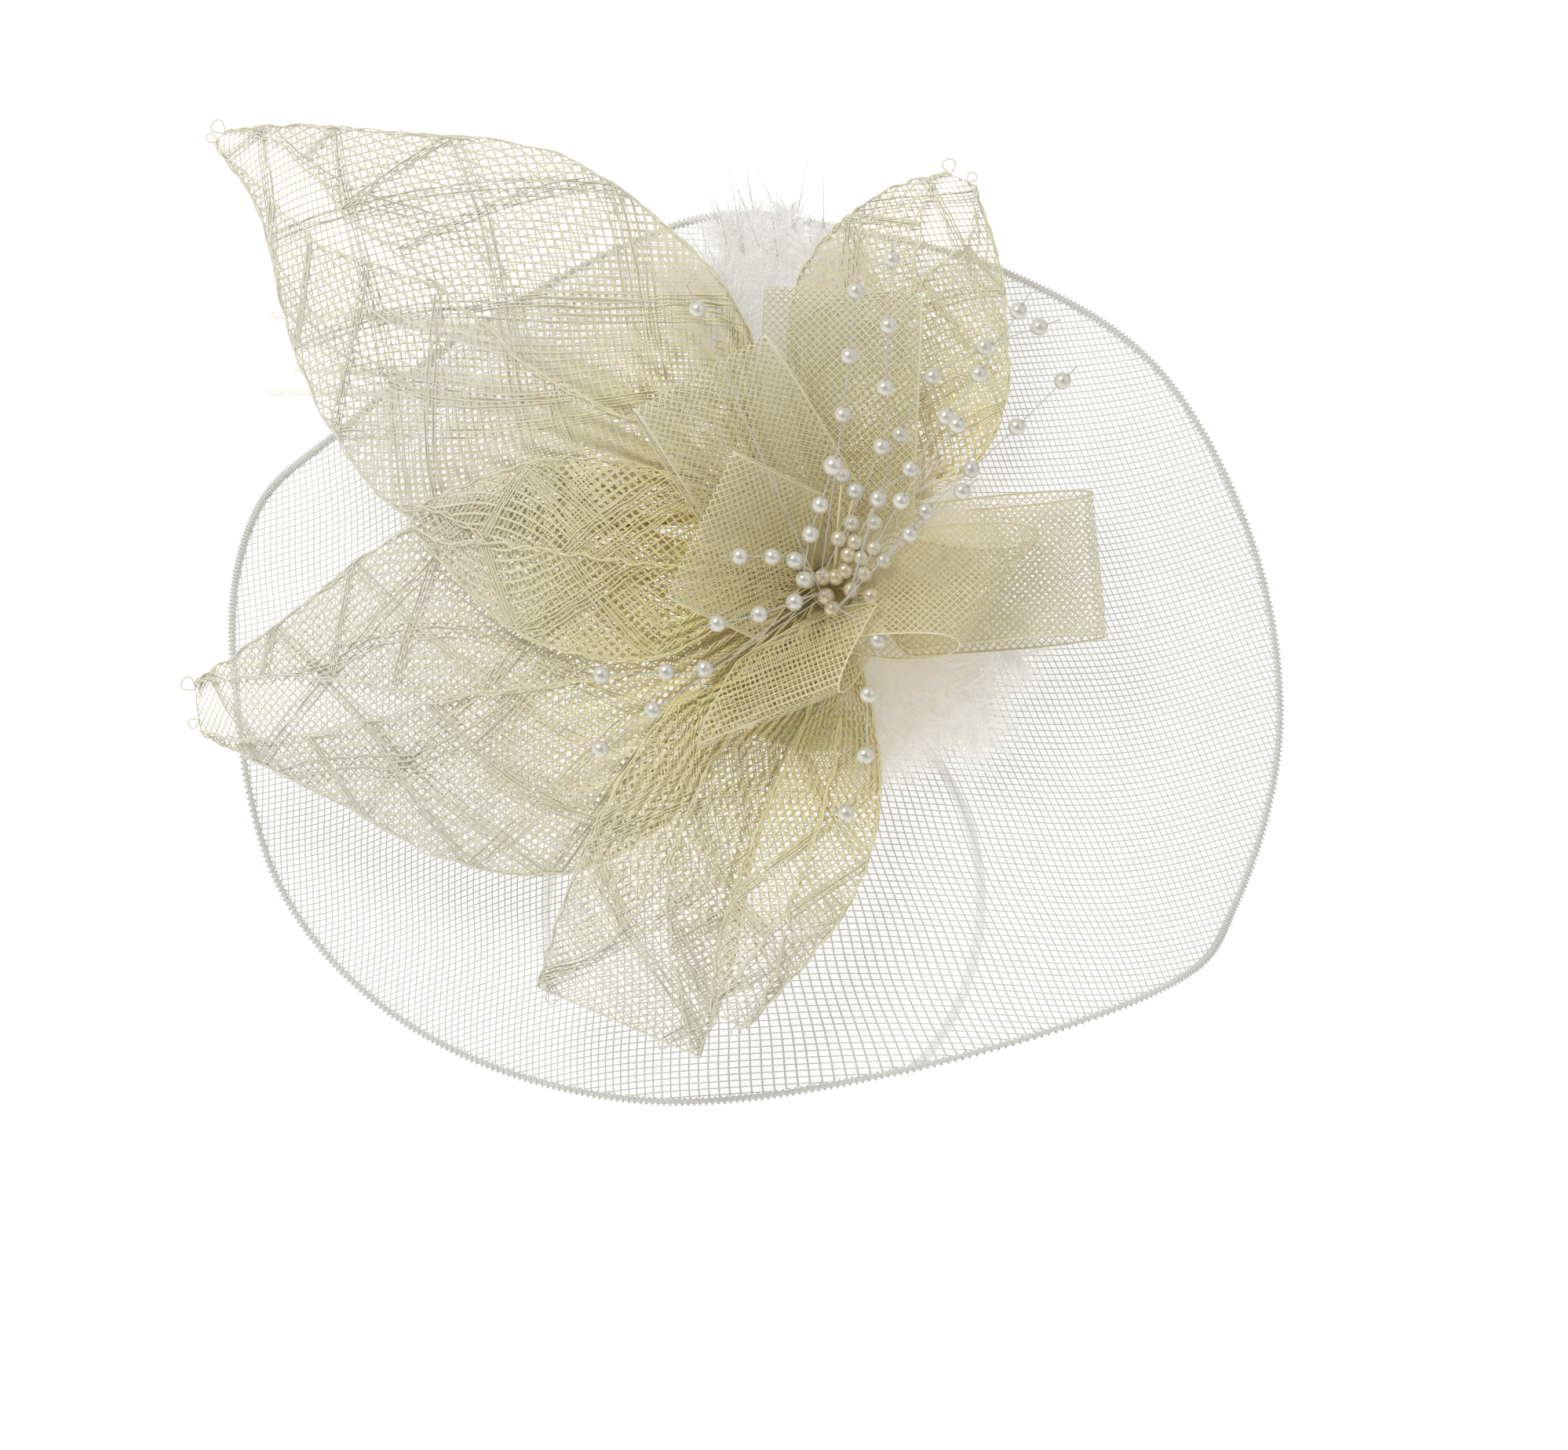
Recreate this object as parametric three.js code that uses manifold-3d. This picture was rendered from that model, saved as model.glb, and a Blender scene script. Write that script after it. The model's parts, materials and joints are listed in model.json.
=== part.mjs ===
// Fascinator headpiece: a crin saucer brim carrying sinamay leaves, crin ribbon loops,
// feathers and pearl sprays, swivelling on a satin-wrapped wire headband.
// Millimetres, +Z up. The origin is under the crown of the headband, where it meets the head.
import * as THREE from 'three';
import { mergeVertices } from 'three/addons/utils/BufferGeometryUtils.js';
import Module from 'manifold-3d';

const wasm = await Module();
wasm.setup();

const degree = Math.PI / 180;
const clearance = 0.3; // gap between pieces that are stitched or glued face to face

// Headband
const wireRadius = 1.75; // satin-wrapped spring wire
const archHalfWidth = 70; // centre line, at the widest
const archHeight = 128; // crown to the end of the arms
const archSweep = 118 * degree; // elliptic arc from the crown to an arm's end
const flexAngle = 38 * degree; // where each arm starts to spread
const flexGap = 0.5;
const tipRadius = 2.6;
const tipLength = 9;
const tipMouth = 0.8; // radii of the sewn end where it starts and just before its nose, and
const tipNose = 0.7; // the height of its shoulders, as shares of its full radius
const tipShoulder = 0.35;

// Trim, as it sits against the headband when packed flat
const trimTilt = 28 * degree; // leans back from the plane of the arch
const trimRoll = 18 * degree; // turned about its own face
const crownOnTrim = { x: 1.25, y: -32.5 }; // where the band's crown crosses behind the trim

// Felt base and the sleeve that holds the band
const padRadius = 38;
const padThickness = 2.5;
const padCentre = { x: -4, y: -14 };
const sleeveLength = 18;
const sleeveWall = 1.3;
const sleeveSeat = 0.6; // share of the tube's wall sunk in the plate it is part of
const plateLength = 36;
const plateWidth = 16;
const plateThickness = 1.2;

// Brim
const brimThickness = 0.8;
const brimFlatRadius = 46; // flat over the felt base, then it dishes
const brimDishReach = 130; // past the flat, where the rim has dropped by its full amount
const brimCentre = { x: -20, y: -25 };
const brimDrop = { level: 16, perHeight: 0.1, wave: 3 }; // how far the rim dips, and its flutes
const edgeRadius = 1.15; // overlocked edging
const edgeGap = 0.5; // between the cut edge of the net and the edging's core
const brimOutline = [
  [-191, -22], [-184, 24], [-157, 50], [-110, 85], [-45, 117], [5, 114], [56, 100], [103, 70],
  [133, 15], [142, -45], [128, -100], [104, -127], [20, -153], [-60, -162], [-130, -141], [-176, -94],
];

// Bound stem that everything is stitched to
const stemRadius = 7;
const stemHeight = 26;
const rootSlack = 0.05; // keeps the corners of a flat root off the stem's facets

// Sinamay leaves
const leafThickness = 0.8;
const leafRootWidth = 4.6;
const leafRise = 0.05; // height gained for each millimetre outwards
const leafFan = 80; // distance over which the stacked leaves spread to twice their spacing
const leafCamber = 3;

// Crin ribbon
const ribbonThickness = 0.6;
const ribbonRootWidth = 5;
const ribbonFlare = 22; // length over which the gathered ribbon opens out
const ribbonParting = 0.75; // half the spacing of a loop's two ends
const ribbonNip = 0.35; // share of a loop's height that is left where it is gathered

// Feathers
const featherThickness = 1.8;
const featherRootWidth = 4.4;
const featherRide = 1.7; // radii of the edging that a feather's back lies above the net

// Pearls
const pearlRadius = 2.7;
const filamentRadius = 0.4;
const sprayRing = 5.8; // where the filaments stand on the stem
const sprayBase = 14; // height above the stem where a spray turns outwards
const sprayLead = 7; // bare filament past the last pearl
const sprayTurn = 0.85; // share of that height where it starts to turn
const sprayLean = 1.05; // how far out it leans by then, in radii of the ring
const moundRadius = 3.4;
const moundHeight = 2.4;
const moundCrown = 0.6; // radius of its top as a share of its foot, and the height the stamens leave it
const stamenLift = 2; // heads stand this far above the mound at its middle
const stamenRise = 0.12; // and this much higher for each millimetre outwards

const colours = {
  satin: 0xf2efe4,
  felt: 0xece7d6,
  net: 0xe4e1d4,
  edging: 0xd9d6c8,
  sinamay: 0xe0d8b4,
  crin: 0xe8e3cb,
  feather: 0xf7f4ea,
  pearl: 0xf3efe2,
  filament: 0xeeeeea,
  tape: 0xd9c793,
};

function material(colour, roughness = 0.8) {
  return new THREE.MeshStandardMaterial({ color: colour, roughness, metalness: 0 });
}

function named(name, geometry, surface) {
  const mesh = new THREE.Mesh(geometry, surface);
  mesh.name = name;
  return mesh;
}

// Solids from geometry and back, for unions and cuts.
function toSolid(geometry) {
  const bare = geometry.clone();
  bare.deleteAttribute('normal');
  bare.deleteAttribute('uv');
  const merged = mergeVertices(bare, 1e-4);
  return new wasm.Manifold(new wasm.Mesh({
    numProp: 3,
    vertProperties: new Float32Array(merged.attributes.position.array),
    triVerts: new Uint32Array(merged.index.array),
  }));
}

function fromSolid(solid) {
  const mesh = solid.getMesh();
  const geometry = new THREE.BufferGeometry();
  geometry.setAttribute('position', new THREE.BufferAttribute(mesh.vertProperties, 3));
  geometry.setIndex(new THREE.BufferAttribute(mesh.triVerts, 1));
  return geometry;
}

function union(geometries) {
  const solids = geometries.map(toSolid);
  return fromSolid(solids.reduce((whole, solid) => whole.add(solid)));
}

function polar(radius, angle) {
  return new THREE.Vector2(radius * Math.cos(angle), radius * Math.sin(angle));
}

function smooth(from, to, value) {
  return THREE.MathUtils.smoothstep(value, from, to);
}

function gridGeometry(positions, indices) {
  const geometry = new THREE.BufferGeometry();
  geometry.setAttribute('position', new THREE.Float32BufferAttribute(positions, 3));
  geometry.setIndex(indices);
  return geometry;
}

// The direction square to a surface given by a function of two values from 0 to 1.
function sheetNormal(pointAt, s, t) {
  const step = 1e-3;
  const along = pointAt(Math.min(1, s + step), t).sub(pointAt(Math.max(0, s - step), t));
  const across = pointAt(s, Math.min(1, t + step)).sub(pointAt(s, Math.max(0, t - step)));
  return along.cross(across).normalize();
}

// A closed sheet of even thickness laid on a surface, with rows along it and columns across it.
function thickSheet(rows, columns, pointAt, thickness) {
  const positions = [];
  const indices = [];
  const layer = (rows + 1) * (columns + 1);
  const at = (i, j) => i * (columns + 1) + j;
  for (const side of [0.5, -0.5]) {
    for (let i = 0; i <= rows; i += 1) {
      for (let j = 0; j <= columns; j += 1) {
        const s = i / rows;
        const t = j / columns;
        const point = pointAt(s, t).addScaledVector(sheetNormal(pointAt, s, t), side * thickness);
        positions.push(...point.toArray());
      }
    }
  }
  for (let i = 0; i < rows; i += 1) {
    for (let j = 0; j < columns; j += 1) {
      const [a, b, c, d] = [at(i, j), at(i + 1, j), at(i + 1, j + 1), at(i, j + 1)];
      indices.push(a, b, c, a, c, d);
      indices.push(a + layer, c + layer, b + layer, a + layer, d + layer, c + layer);
    }
  }
  const rim = [];
  for (let i = 0; i < rows; i += 1) rim.push(at(i, 0));
  for (let j = 0; j < columns; j += 1) rim.push(at(rows, j));
  for (let i = rows; i > 0; i -= 1) rim.push(at(i, columns));
  for (let j = columns; j > 0; j -= 1) rim.push(at(0, j));
  rim.forEach((p, k) => {
    const q = rim[(k + 1) % rim.length];
    indices.push(p + layer, q + layer, q, p + layer, q, p);
  });
  return gridGeometry(positions, indices);
}

function flatCurve(points) {
  return new THREE.CatmullRomCurve3(points.map(([x, y]) => new THREE.Vector3(x, y, 0)));
}

function tube(points, radius, steps, sides) {
  const path = new THREE.CatmullRomCurve3(points);
  return tubeAlong(path, radius, steps, sides);
}

function tubeAlong(path, radius, steps, sides) {
  const section = new THREE.Shape();
  section.absarc(0, 0, radius, 0, 2 * Math.PI);
  return new THREE.ExtrudeGeometry(section, { steps, curveSegments: sides / 2, extrudePath: path });
}

// ---- Headband, in the object's own frame ----

// The centre line of the arch between two angles of its ellipse, 0 at the crown.
class ArchCurve extends THREE.Curve {
  constructor(from, to) {
    super();
    this.from = from;
    this.to = to;
  }

  getPoint(t, target = new THREE.Vector3()) {
    return archPoint(THREE.MathUtils.lerp(this.from, this.to, t), target);
  }
}

function archDepth() {
  return archHeight / (1 - Math.cos(archSweep));
}

function archPoint(angle, target = new THREE.Vector3()) {
  const drop = archDepth() * (1 - Math.cos(angle));
  return target.set(archHalfWidth * Math.sin(angle), 0, wireRadius - drop);
}

function archSpeed(angle) {
  return Math.hypot(archHalfWidth * Math.cos(angle), archDepth() * Math.sin(angle));
}

function headbandCrown(surface) {
  const end = flexAngle - flexGap / 2 / archSpeed(flexAngle);
  return named('headband_crown', tubeAlong(new ArchCurve(-end, end), wireRadius, 20, 10), surface);
}

function headbandArm(side, surface) {
  const start = flexAngle + flexGap / 2 / archSpeed(flexAngle);
  const end = archSweep - tipLength / archSpeed(archSweep);
  const path = new ArchCurve(side.sign * start, side.sign * end);
  return named(`headband_arm_${side.name}`, tubeAlong(path, wireRadius, 16, 10), surface);
}

// The sewn end of the wrapping, a blunt bullet past the end of the wire.
function headbandTip(side, surface) {
  const shoulder = tipRadius * tipShoulder;
  const profile = [
    new THREE.Vector2(0, 0),
    new THREE.Vector2(tipRadius * tipMouth, 0),
    new THREE.Vector2(tipRadius, shoulder),
    new THREE.Vector2(tipRadius, tipLength - tipRadius),
    new THREE.Vector2(tipRadius * tipNose, tipLength - shoulder),
    new THREE.Vector2(0, tipLength),
  ];
  const mesh = named(`headband_tip_${side.name}`, new THREE.LatheGeometry(profile, 14), surface);
  const end = archSweep - (tipLength - clearance) / archSpeed(archSweep);
  const base = archPoint(side.sign * end);
  const ahead = archPoint(side.sign * archSweep).sub(base).normalize();
  mesh.position.copy(base);
  mesh.quaternion.setFromUnitVectors(new THREE.Vector3(0, 1, 0), ahead);
  return mesh;
}

// ---- Base, in the trim's frame: x across, y up, z out of the brim's face ----

const brimBack = -brimThickness / 2;
const padBack = brimBack - clearance - padThickness;
const plateBack = padBack - clearance - plateThickness;
const sleeveSag = archDepth() * (1 - Math.cos(Math.asin(sleeveLength / 2 / archHalfWidth)));
const sleeveBore = wireRadius + sleeveSag / 2 + clearance;
const sleeveOuter = sleeveBore + sleeveWall;
const sleeveAxis = plateBack - sleeveOuter + sleeveWall * sleeveSeat;

function basePad(surface) {
  const geometry = new THREE.CylinderGeometry(padRadius, padRadius, padThickness, 40);
  const mesh = named('base_pad', geometry, surface);
  mesh.rotation.x = Math.PI / 2;
  mesh.position.set(padCentre.x, padCentre.y, padBack + padThickness / 2);
  return mesh;
}

// A felt plate with a tube across it, in which the wire of the band turns.
function bandSleeve(surface) {
  const plate = new THREE.BoxGeometry(plateLength, plateWidth, plateThickness);
  plate.translate(0, 0, plateBack + plateThickness / 2);
  const outer = new THREE.CylinderGeometry(sleeveOuter, sleeveOuter, sleeveLength, 24);
  const bore = new THREE.CylinderGeometry(sleeveBore, sleeveBore, sleeveLength + 2 * sleeveWall, 24);
  for (const cylinder of [outer, bore]) {
    cylinder.rotateZ(Math.PI / 2);
    cylinder.translate(0, 0, sleeveAxis);
  }
  const solid = toSolid(plate).add(toSolid(outer)).subtract(toSolid(bore));
  const mesh = named('band_sleeve', fromSolid(solid), surface);
  mesh.position.set(crownOnTrim.x, crownOnTrim.y, 0);
  mesh.rotation.z = -trimRoll;
  return mesh;
}

function stem(surface) {
  const geometry = new THREE.CylinderGeometry(stemRadius, stemRadius, stemHeight, 24);
  const mesh = named('bound_stem', geometry, surface);
  mesh.rotation.x = Math.PI / 2;
  mesh.position.z = brimThickness / 2 + clearance + stemHeight / 2;
  return mesh;
}

const stemTop = brimThickness / 2 + clearance + stemHeight;

// ---- Brim ----

function brimHeight(x, y) {
  const reach = Math.hypot(x - padCentre.x, y - padCentre.y) - brimFlatRadius;
  const past = Math.max(0, reach) / brimDishReach;
  const drop = Math.max(0, brimDrop.level + brimDrop.perHeight * y);
  const wave = brimDrop.wave * Math.sin(3 * Math.atan2(y, x));
  return past * past * (wave - drop);
}

function rimCurve() {
  const points = brimOutline.map(([x, y]) => new THREE.Vector3(x, y, 0));
  return new THREE.CatmullRomCurve3(points, true);
}

function brimNet(surface) {
  const rings = 6;
  const segments = 36;
  const rim = rimCurve().getPoints(segments);
  const positions = [];
  const indices = [];
  const layer = rings * segments + 1;
  for (const side of [0.5, -0.5]) {
    positions.push(brimCentre.x, brimCentre.y, side * brimThickness);
    for (let i = 1; i <= rings; i += 1) {
      for (let j = 0; j < segments; j += 1) {
        const x = THREE.MathUtils.lerp(brimCentre.x, rim[j].x, i / rings);
        const y = THREE.MathUtils.lerp(brimCentre.y, rim[j].y, i / rings);
        positions.push(x, y, brimHeight(x, y) + side * brimThickness);
      }
    }
  }
  const at = (i, j) => 1 + (i - 1) * segments + (j % segments);
  for (let j = 0; j < segments; j += 1) {
    indices.push(0, at(1, j + 1), at(1, j));
    indices.push(layer, layer + at(1, j), layer + at(1, j + 1));
    for (let i = 1; i < rings; i += 1) {
      const [a, b, c, d] = [at(i, j), at(i + 1, j), at(i + 1, j + 1), at(i, j + 1)];
      indices.push(a, c, b, a, d, c);
      indices.push(layer + a, layer + b, layer + c, layer + a, layer + c, layer + d);
    }
    const [p, q] = [at(rings, j), at(rings, j + 1)];
    indices.push(p, q, layer + q, p, layer + q, layer + p);
  }
  return named('brim_net', gridGeometry(positions, indices), surface);
}

// The edging: a closed ring of round section just outside the cut edge of the net.
function brimEdge(surface) {
  const steps = 72;
  const sides = 6;
  const rim = rimCurve();
  const reach = edgeRadius + edgeGap;
  const positions = [];
  const indices = [];
  for (let i = 0; i < steps; i += 1) {
    const point = rim.getPoint(i / steps);
    const along = rim.getTangent(i / steps);
    const out = new THREE.Vector3(-along.y, along.x, 0).normalize();
    const centre = point.clone().addScaledVector(out, reach);
    centre.z = brimHeight(point.x, point.y);
    for (let k = 0; k < sides; k += 1) {
      const angle = (2 * Math.PI * k) / sides;
      const spot = centre.clone().addScaledVector(out, edgeRadius * Math.cos(angle));
      positions.push(spot.x, spot.y, spot.z + edgeRadius * Math.sin(angle));
    }
  }
  for (let i = 0; i < steps; i += 1) {
    for (let k = 0; k < sides; k += 1) {
      const a = i * sides + k;
      const b = ((i + 1) % steps) * sides + k;
      const c = ((i + 1) % steps) * sides + ((k + 1) % sides);
      const d = i * sides + ((k + 1) % sides);
      indices.push(a, c, b, a, d, c);
    }
  }
  return named('brim_edge', gridGeometry(positions, indices), surface);
}

// ---- Sinamay leaves ----

// Each leaf is ruled between two edges, from its root on the stem to its tip.
const leaves = [
  {
    name: 'leaf_top_left',
    root: 126,
    level: 6,
    upper: [[-20, 44], [-27, 82], [-48, 110], [-88, 137], [-140, 143], [-170, 145], [-190, 143]],
    lower: [[-40, 20], [-85, 17], [-133, 22], [-158, 50], [-171, 80], [-180, 117], [-194, 139]],
  },
  {
    name: 'leaf_left_lower',
    root: 200,
    level: 4.4,
    upper: [[-25, 6], [-65, 20], [-108, 26], [-140, 15], [-165, -4], [-188, -21], [-201, -30]],
    lower: [[-22, -26], [-48, -70], [-84, -90], [-122, -86], [-152, -70], [-180, -56], [-199, -46]],
  },
  {
    name: 'leaf_left_upper',
    root: 163,
    level: 8.2,
    upper: [[-24, 18], [-50, 35], [-80, 41], [-106, 36], [-131, 25]],
    lower: [[-25, -6], [-55, -22], [-85, -20], [-108, -8], [-133, 19]],
  },
  {
    name: 'leaf_bottom_left',
    root: 241,
    level: 6,
    upper: [[-18, -24], [-50, -38], [-72, -70], [-86, -103], [-93, -126]],
    lower: [[-4, -32], [-18, -60], [-26, -90], [-32, -120], [-42, -148]],
  },
  {
    name: 'leaf_bottom_right',
    root: 283,
    level: 8.2,
    upper: [[-4, -30], [-9, -55], [-18, -85], [-28, -113], [-36, -134]],
    lower: [[10, -28], [15, -58], [12, -84], [0, -108], [-27, -139]],
  },
  {
    name: 'leaf_top_right',
    root: 68,
    level: 4.4,
    upper: [[-4, 28], [-13, 62], [-12, 94], [0, 113], [18, 126], [36, 131]],
    lower: [[18, 22], [44, 38], [55, 60], [55, 84], [53, 102], [45, 127]],
  },
];

// The two points where a gathered strip of the given width meets the stem.
function rootPoints(angle, width) {
  const radius = stemRadius + clearance;
  const half = Math.asin(width / 2 / radius);
  const outer = radius / Math.cos(half) + rootSlack;
  return [polar(outer, angle + half), polar(outer, angle - half)];
}

function leafSurface(leaf) {
  const angle = leaf.root * degree;
  const [ahead, behind] = rootPoints(angle, leafRootWidth);
  const [x, y] = leaf.upper[0];
  const upperIsAhead = Math.sin(Math.atan2(y, x) - angle) > 0;
  const [upperRoot, lowerRoot] = upperIsAhead ? [ahead, behind] : [behind, ahead];
  const upper = flatCurve([upperRoot.toArray(), ...leaf.upper]);
  const lower = flatCurve([lowerRoot.toArray(), ...leaf.lower]);
  return (s, t) => {
    const point = upper.getPoint(s).lerp(lower.getPoint(s), t);
    const reach = Math.hypot(point.x, point.y);
    const crown = Math.sin(Math.PI * t) ** 2 * Math.min(1, reach / leafFan);
    point.z = leaf.level * (1 + reach / leafFan) + leafRise * reach + leafCamber * crown;
    return point;
  };
}

function sinamayLeaf(leaf, surface) {
  return named(leaf.name, thickSheet(16, 5, leafSurface(leaf), leafThickness), surface);
}

// ---- Crin ribbon loops ----

const loops = [
  { name: 'crin_loop_top_left', azimuth: 123, length: 79, width: 50, height: 11, level: 17, rise: 0.4 },
  { name: 'crin_loop_left', azimuth: 155, length: 46, width: 50, height: 11, level: 23, rise: 0.72 },
  { name: 'crin_loop_top', azimuth: 88, length: 94, width: 50, height: 9, level: 12, rise: 0.2 },
  { name: 'crin_loop_right_upper', azimuth: 31, length: 66, width: 34, height: 14, level: 18, rise: 0.4 },
  { name: 'crin_loop_right', azimuth: 4, length: 85, width: 50, height: 12, level: 11, rise: 0.12 },
  { name: 'crin_loop_bottom', azimuth: 252, length: 48, width: 46, height: 12, level: 18, rise: 0.35 },
];

function loopSurface(loop) {
  const angle = loop.azimuth * degree;
  const [corner] = rootPoints(angle, ribbonRootWidth);
  const start = corner.length();
  const out = polar(1, angle);
  const side = polar(1, angle + Math.PI / 2);
  return (s, t) => {
    const turn = (2 * s - 1) * Math.PI;
    const far = (1 + Math.cos(turn)) / 2;
    const reach = THREE.MathUtils.lerp(start, loop.length, far);
    const opening = smooth(start, start + ribbonFlare, reach);
    const width = THREE.MathUtils.lerp(ribbonRootWidth, loop.width, opening);
    const offset = (t - 0.5) * width;
    const belly = (loop.height / 2) * Math.sin(turn) * THREE.MathUtils.lerp(ribbonNip, 1, far);
    const height = loop.level + loop.rise * (reach - start) + belly + ribbonParting * (2 * s - 1);
    const x = out.x * reach + side.x * offset;
    const y = out.y * reach + side.y * offset;
    return new THREE.Vector3(x, y, height);
  };
}

function crinLoop(loop, surface) {
  return named(loop.name, thickSheet(22, 3, loopSurface(loop), ribbonThickness), surface);
}

// The narrow loop that lies on the brim behind the left leaves.
const backLoop = {
  width: 10,
  path: [[-50, -18], [-80, -20], [-103, -40], [-104, -60], [-78, -66], [-46, -60]],
};

function crinBackLoop(surface) {
  const line = flatCurve(backLoop.path);
  const lift = brimThickness / 2 + clearance + ribbonThickness;
  const pointAt = (s, t) => {
    const along = line.getTangent(s);
    const offset = (t - 0.5) * backLoop.width;
    const point = line.getPoint(s);
    point.x -= along.y * offset;
    point.y += along.x * offset;
    point.z = brimHeight(point.x, point.y) + lift;
    return point;
  };
  return named('crin_loop_back', thickSheet(20, 2, pointAt, ribbonThickness), surface);
}

// ---- Feathers, lying on the brim under the leaves ----

const feathers = [
  { name: 'marabou_top', azimuth: 97, length: 126, width: 44 },
  { name: 'marabou_right', azimuth: 40, length: 62, width: 40 },
  { name: 'marabou_lower_right', azimuth: -46, length: 76, width: 62 },
  { name: 'biot_feathers_left', azimuth: 157, length: 198, width: 26 },
];

function featherFan(feather, surface) {
  const angle = feather.azimuth * degree;
  const [corner] = rootPoints(angle, featherRootWidth);
  const start = corner.length();
  const lift = edgeRadius * featherRide + clearance + featherThickness / 2;
  const out = polar(1, angle);
  const side = polar(1, angle + Math.PI / 2);
  const pointAt = (s, t) => {
    const reach = THREE.MathUtils.lerp(start, feather.length, s);
    const width = THREE.MathUtils.lerp(featherRootWidth, feather.width, Math.sin((s * Math.PI) / 2));
    const offset = (t - 0.5) * width;
    const x = out.x * reach + side.x * offset;
    const y = out.y * reach + side.y * offset;
    return new THREE.Vector3(x, y, brimHeight(x, y) + lift);
  };
  return named(feather.name, thickSheet(10, 4, pointAt, featherThickness), surface);
}

// ---- Pearls ----

// Each spray: where it stands on the stem, how steeply it rises, and its pearls outwards.
const sprays = [
  { name: 'pearl_spray_right_1', root: -68, rise: 0.5, pearls: [[24, 16], [40, 29]] },
  { name: 'pearl_spray_right_2', root: -52, rise: 0.32, pearls: [[29, 23], [43, 36], [57, 49], [71, 63]] },
  { name: 'pearl_spray_right_3', root: -20, rise: 0.66, pearls: [[21, 26], [38, 49]] },
  {
    name: 'pearl_spray_right_4',
    root: -6,
    rise: 0.42,
    pearls: [[14, 27], [24, 36], [35, 52], [45, 65], [57, 84]],
  },
  { name: 'pearl_spray_right_5', root: 9, rise: 0.24, pearls: [[21, 47], [31, 65], [47, 74], [64, 80]] },
  { name: 'pearl_spray_top_1', root: 108, rise: 0.4, pearls: [[15, 43], [16, 61], [17, 80], [18, 100]] },
  { name: 'pearl_spray_top_2', root: 124, rise: 0.3, pearls: [[3, 53], [5, 71], [7, 91]] },
  { name: 'pearl_spray_front', root: 140, rise: 0.6, pearls: [[-9, 2], [-7, 16], [-4, 25], [0, 37]] },
  { name: 'pearl_spray_top_left', root: 156, rise: 0.34, pearls: [[-42, 85]] },
  { name: 'pearl_spray_left_1', root: 172, rise: 0.5, pearls: [[-12, 8], [-19, 9], [-29, 9]] },
  { name: 'pearl_spray_left_2', root: 190, rise: 0.6, pearls: [[-12, -5], [-23, -9], [-36, -12]] },
  { name: 'pearl_spray_left_3', root: 208, rise: 0.3, pearls: [[-40, -26], [-52, -27], [-72, -28]] },
  { name: 'pearl_spray_left_4', root: 226, rise: 0.4, pearls: [[-56, -39], [-72, -51]] },
  { name: 'pearl_spray_bottom', root: 275, rise: 0.3, pearls: [[14, -17], [11, -34], [10, -53], [4, -71]] },
];

function pearl(centre) {
  const ball = new THREE.OctahedronGeometry(pearlRadius, 1);
  ball.translate(centre.x, centre.y, centre.z);
  return ball;
}

function pearlSpray(spray, surface) {
  const foot = polar(sprayRing, spray.root * degree);
  const heightAt = ([x, y]) => stemTop + sprayBase + spray.rise * Math.hypot(x, y);
  const beads = spray.pearls.map(([x, y]) => new THREE.Vector3(x, y, heightAt([x, y])));
  const standing = new THREE.Vector3(foot.x, foot.y, stemTop + clearance);
  const turning = new THREE.Vector3(foot.x * sprayLean, foot.y * sprayLean, stemTop + sprayBase * sprayTurn);
  const before = beads.length > 1 ? beads.at(-2) : turning;
  const lead = beads.at(-1).clone().sub(before).setLength(sprayLead);
  const end = beads.at(-1).clone().add(lead);
  const route = [standing, turning, ...beads, end];
  const filament = tube(route, filamentRadius, 3 * route.length, 4);
  return named(spray.name, union([filament, ...beads.map(pearl)]), surface);
}

// Pearl stamens crowded over the top of the stem.
const stamens = [[3, 35], [7, 30], [13, 21], [6, 20], [13, 13], [6, 12], [16, 8], [1, 27]];

function stamenCluster(surface) {
  const mound = new THREE.CylinderGeometry(moundRadius * moundCrown, moundRadius, moundHeight, 14);
  mound.rotateX(Math.PI / 2);
  mound.translate(0, 0, stemTop + clearance + moundHeight / 2);
  const pieces = [mound];
  stamens.forEach(([x, y]) => {
    const reach = Math.hypot(x, y);
    const head = new THREE.Vector3(x, y, stemTop + moundHeight + stamenLift + stamenRise * reach);
    const foot = new THREE.Vector3(x / reach, y / reach, stemTop + clearance + moundHeight * moundCrown);
    const middle = foot.clone().lerp(head, 0.5);
    pieces.push(tube([foot, middle, head], filamentRadius, 2, 4));
    pieces.push(pearl(head));
  });
  return named('stamen_cluster', union(pieces), surface);
}

// ---- Assembly ----

function trimMatrix() {
  const up = new THREE.Vector3(0, Math.sin(trimTilt), Math.cos(trimTilt));
  const level = new THREE.Vector3(1, 0, 0);
  const across = level.clone().multiplyScalar(Math.cos(trimRoll)).addScaledVector(up, Math.sin(trimRoll));
  const height = up.clone().multiplyScalar(Math.cos(trimRoll)).addScaledVector(level, -Math.sin(trimRoll));
  const out = new THREE.Vector3().crossVectors(across, height);
  const matrix = new THREE.Matrix4().makeBasis(across, height, out);
  const axis = new THREE.Vector3(crownOnTrim.x, crownOnTrim.y, sleeveAxis).applyMatrix4(matrix);
  matrix.setPosition(-axis.x, -axis.y, wireRadius - sleeveSag / 2 - axis.z);
  return matrix;
}

function headband(satin) {
  const group = new THREE.Group();
  group.add(headbandCrown(satin));
  for (const side of [{ name: 'left', sign: -1 }, { name: 'right', sign: 1 }]) {
    group.add(headbandArm(side, satin));
    group.add(headbandTip(side, satin));
  }
  return group;
}

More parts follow.
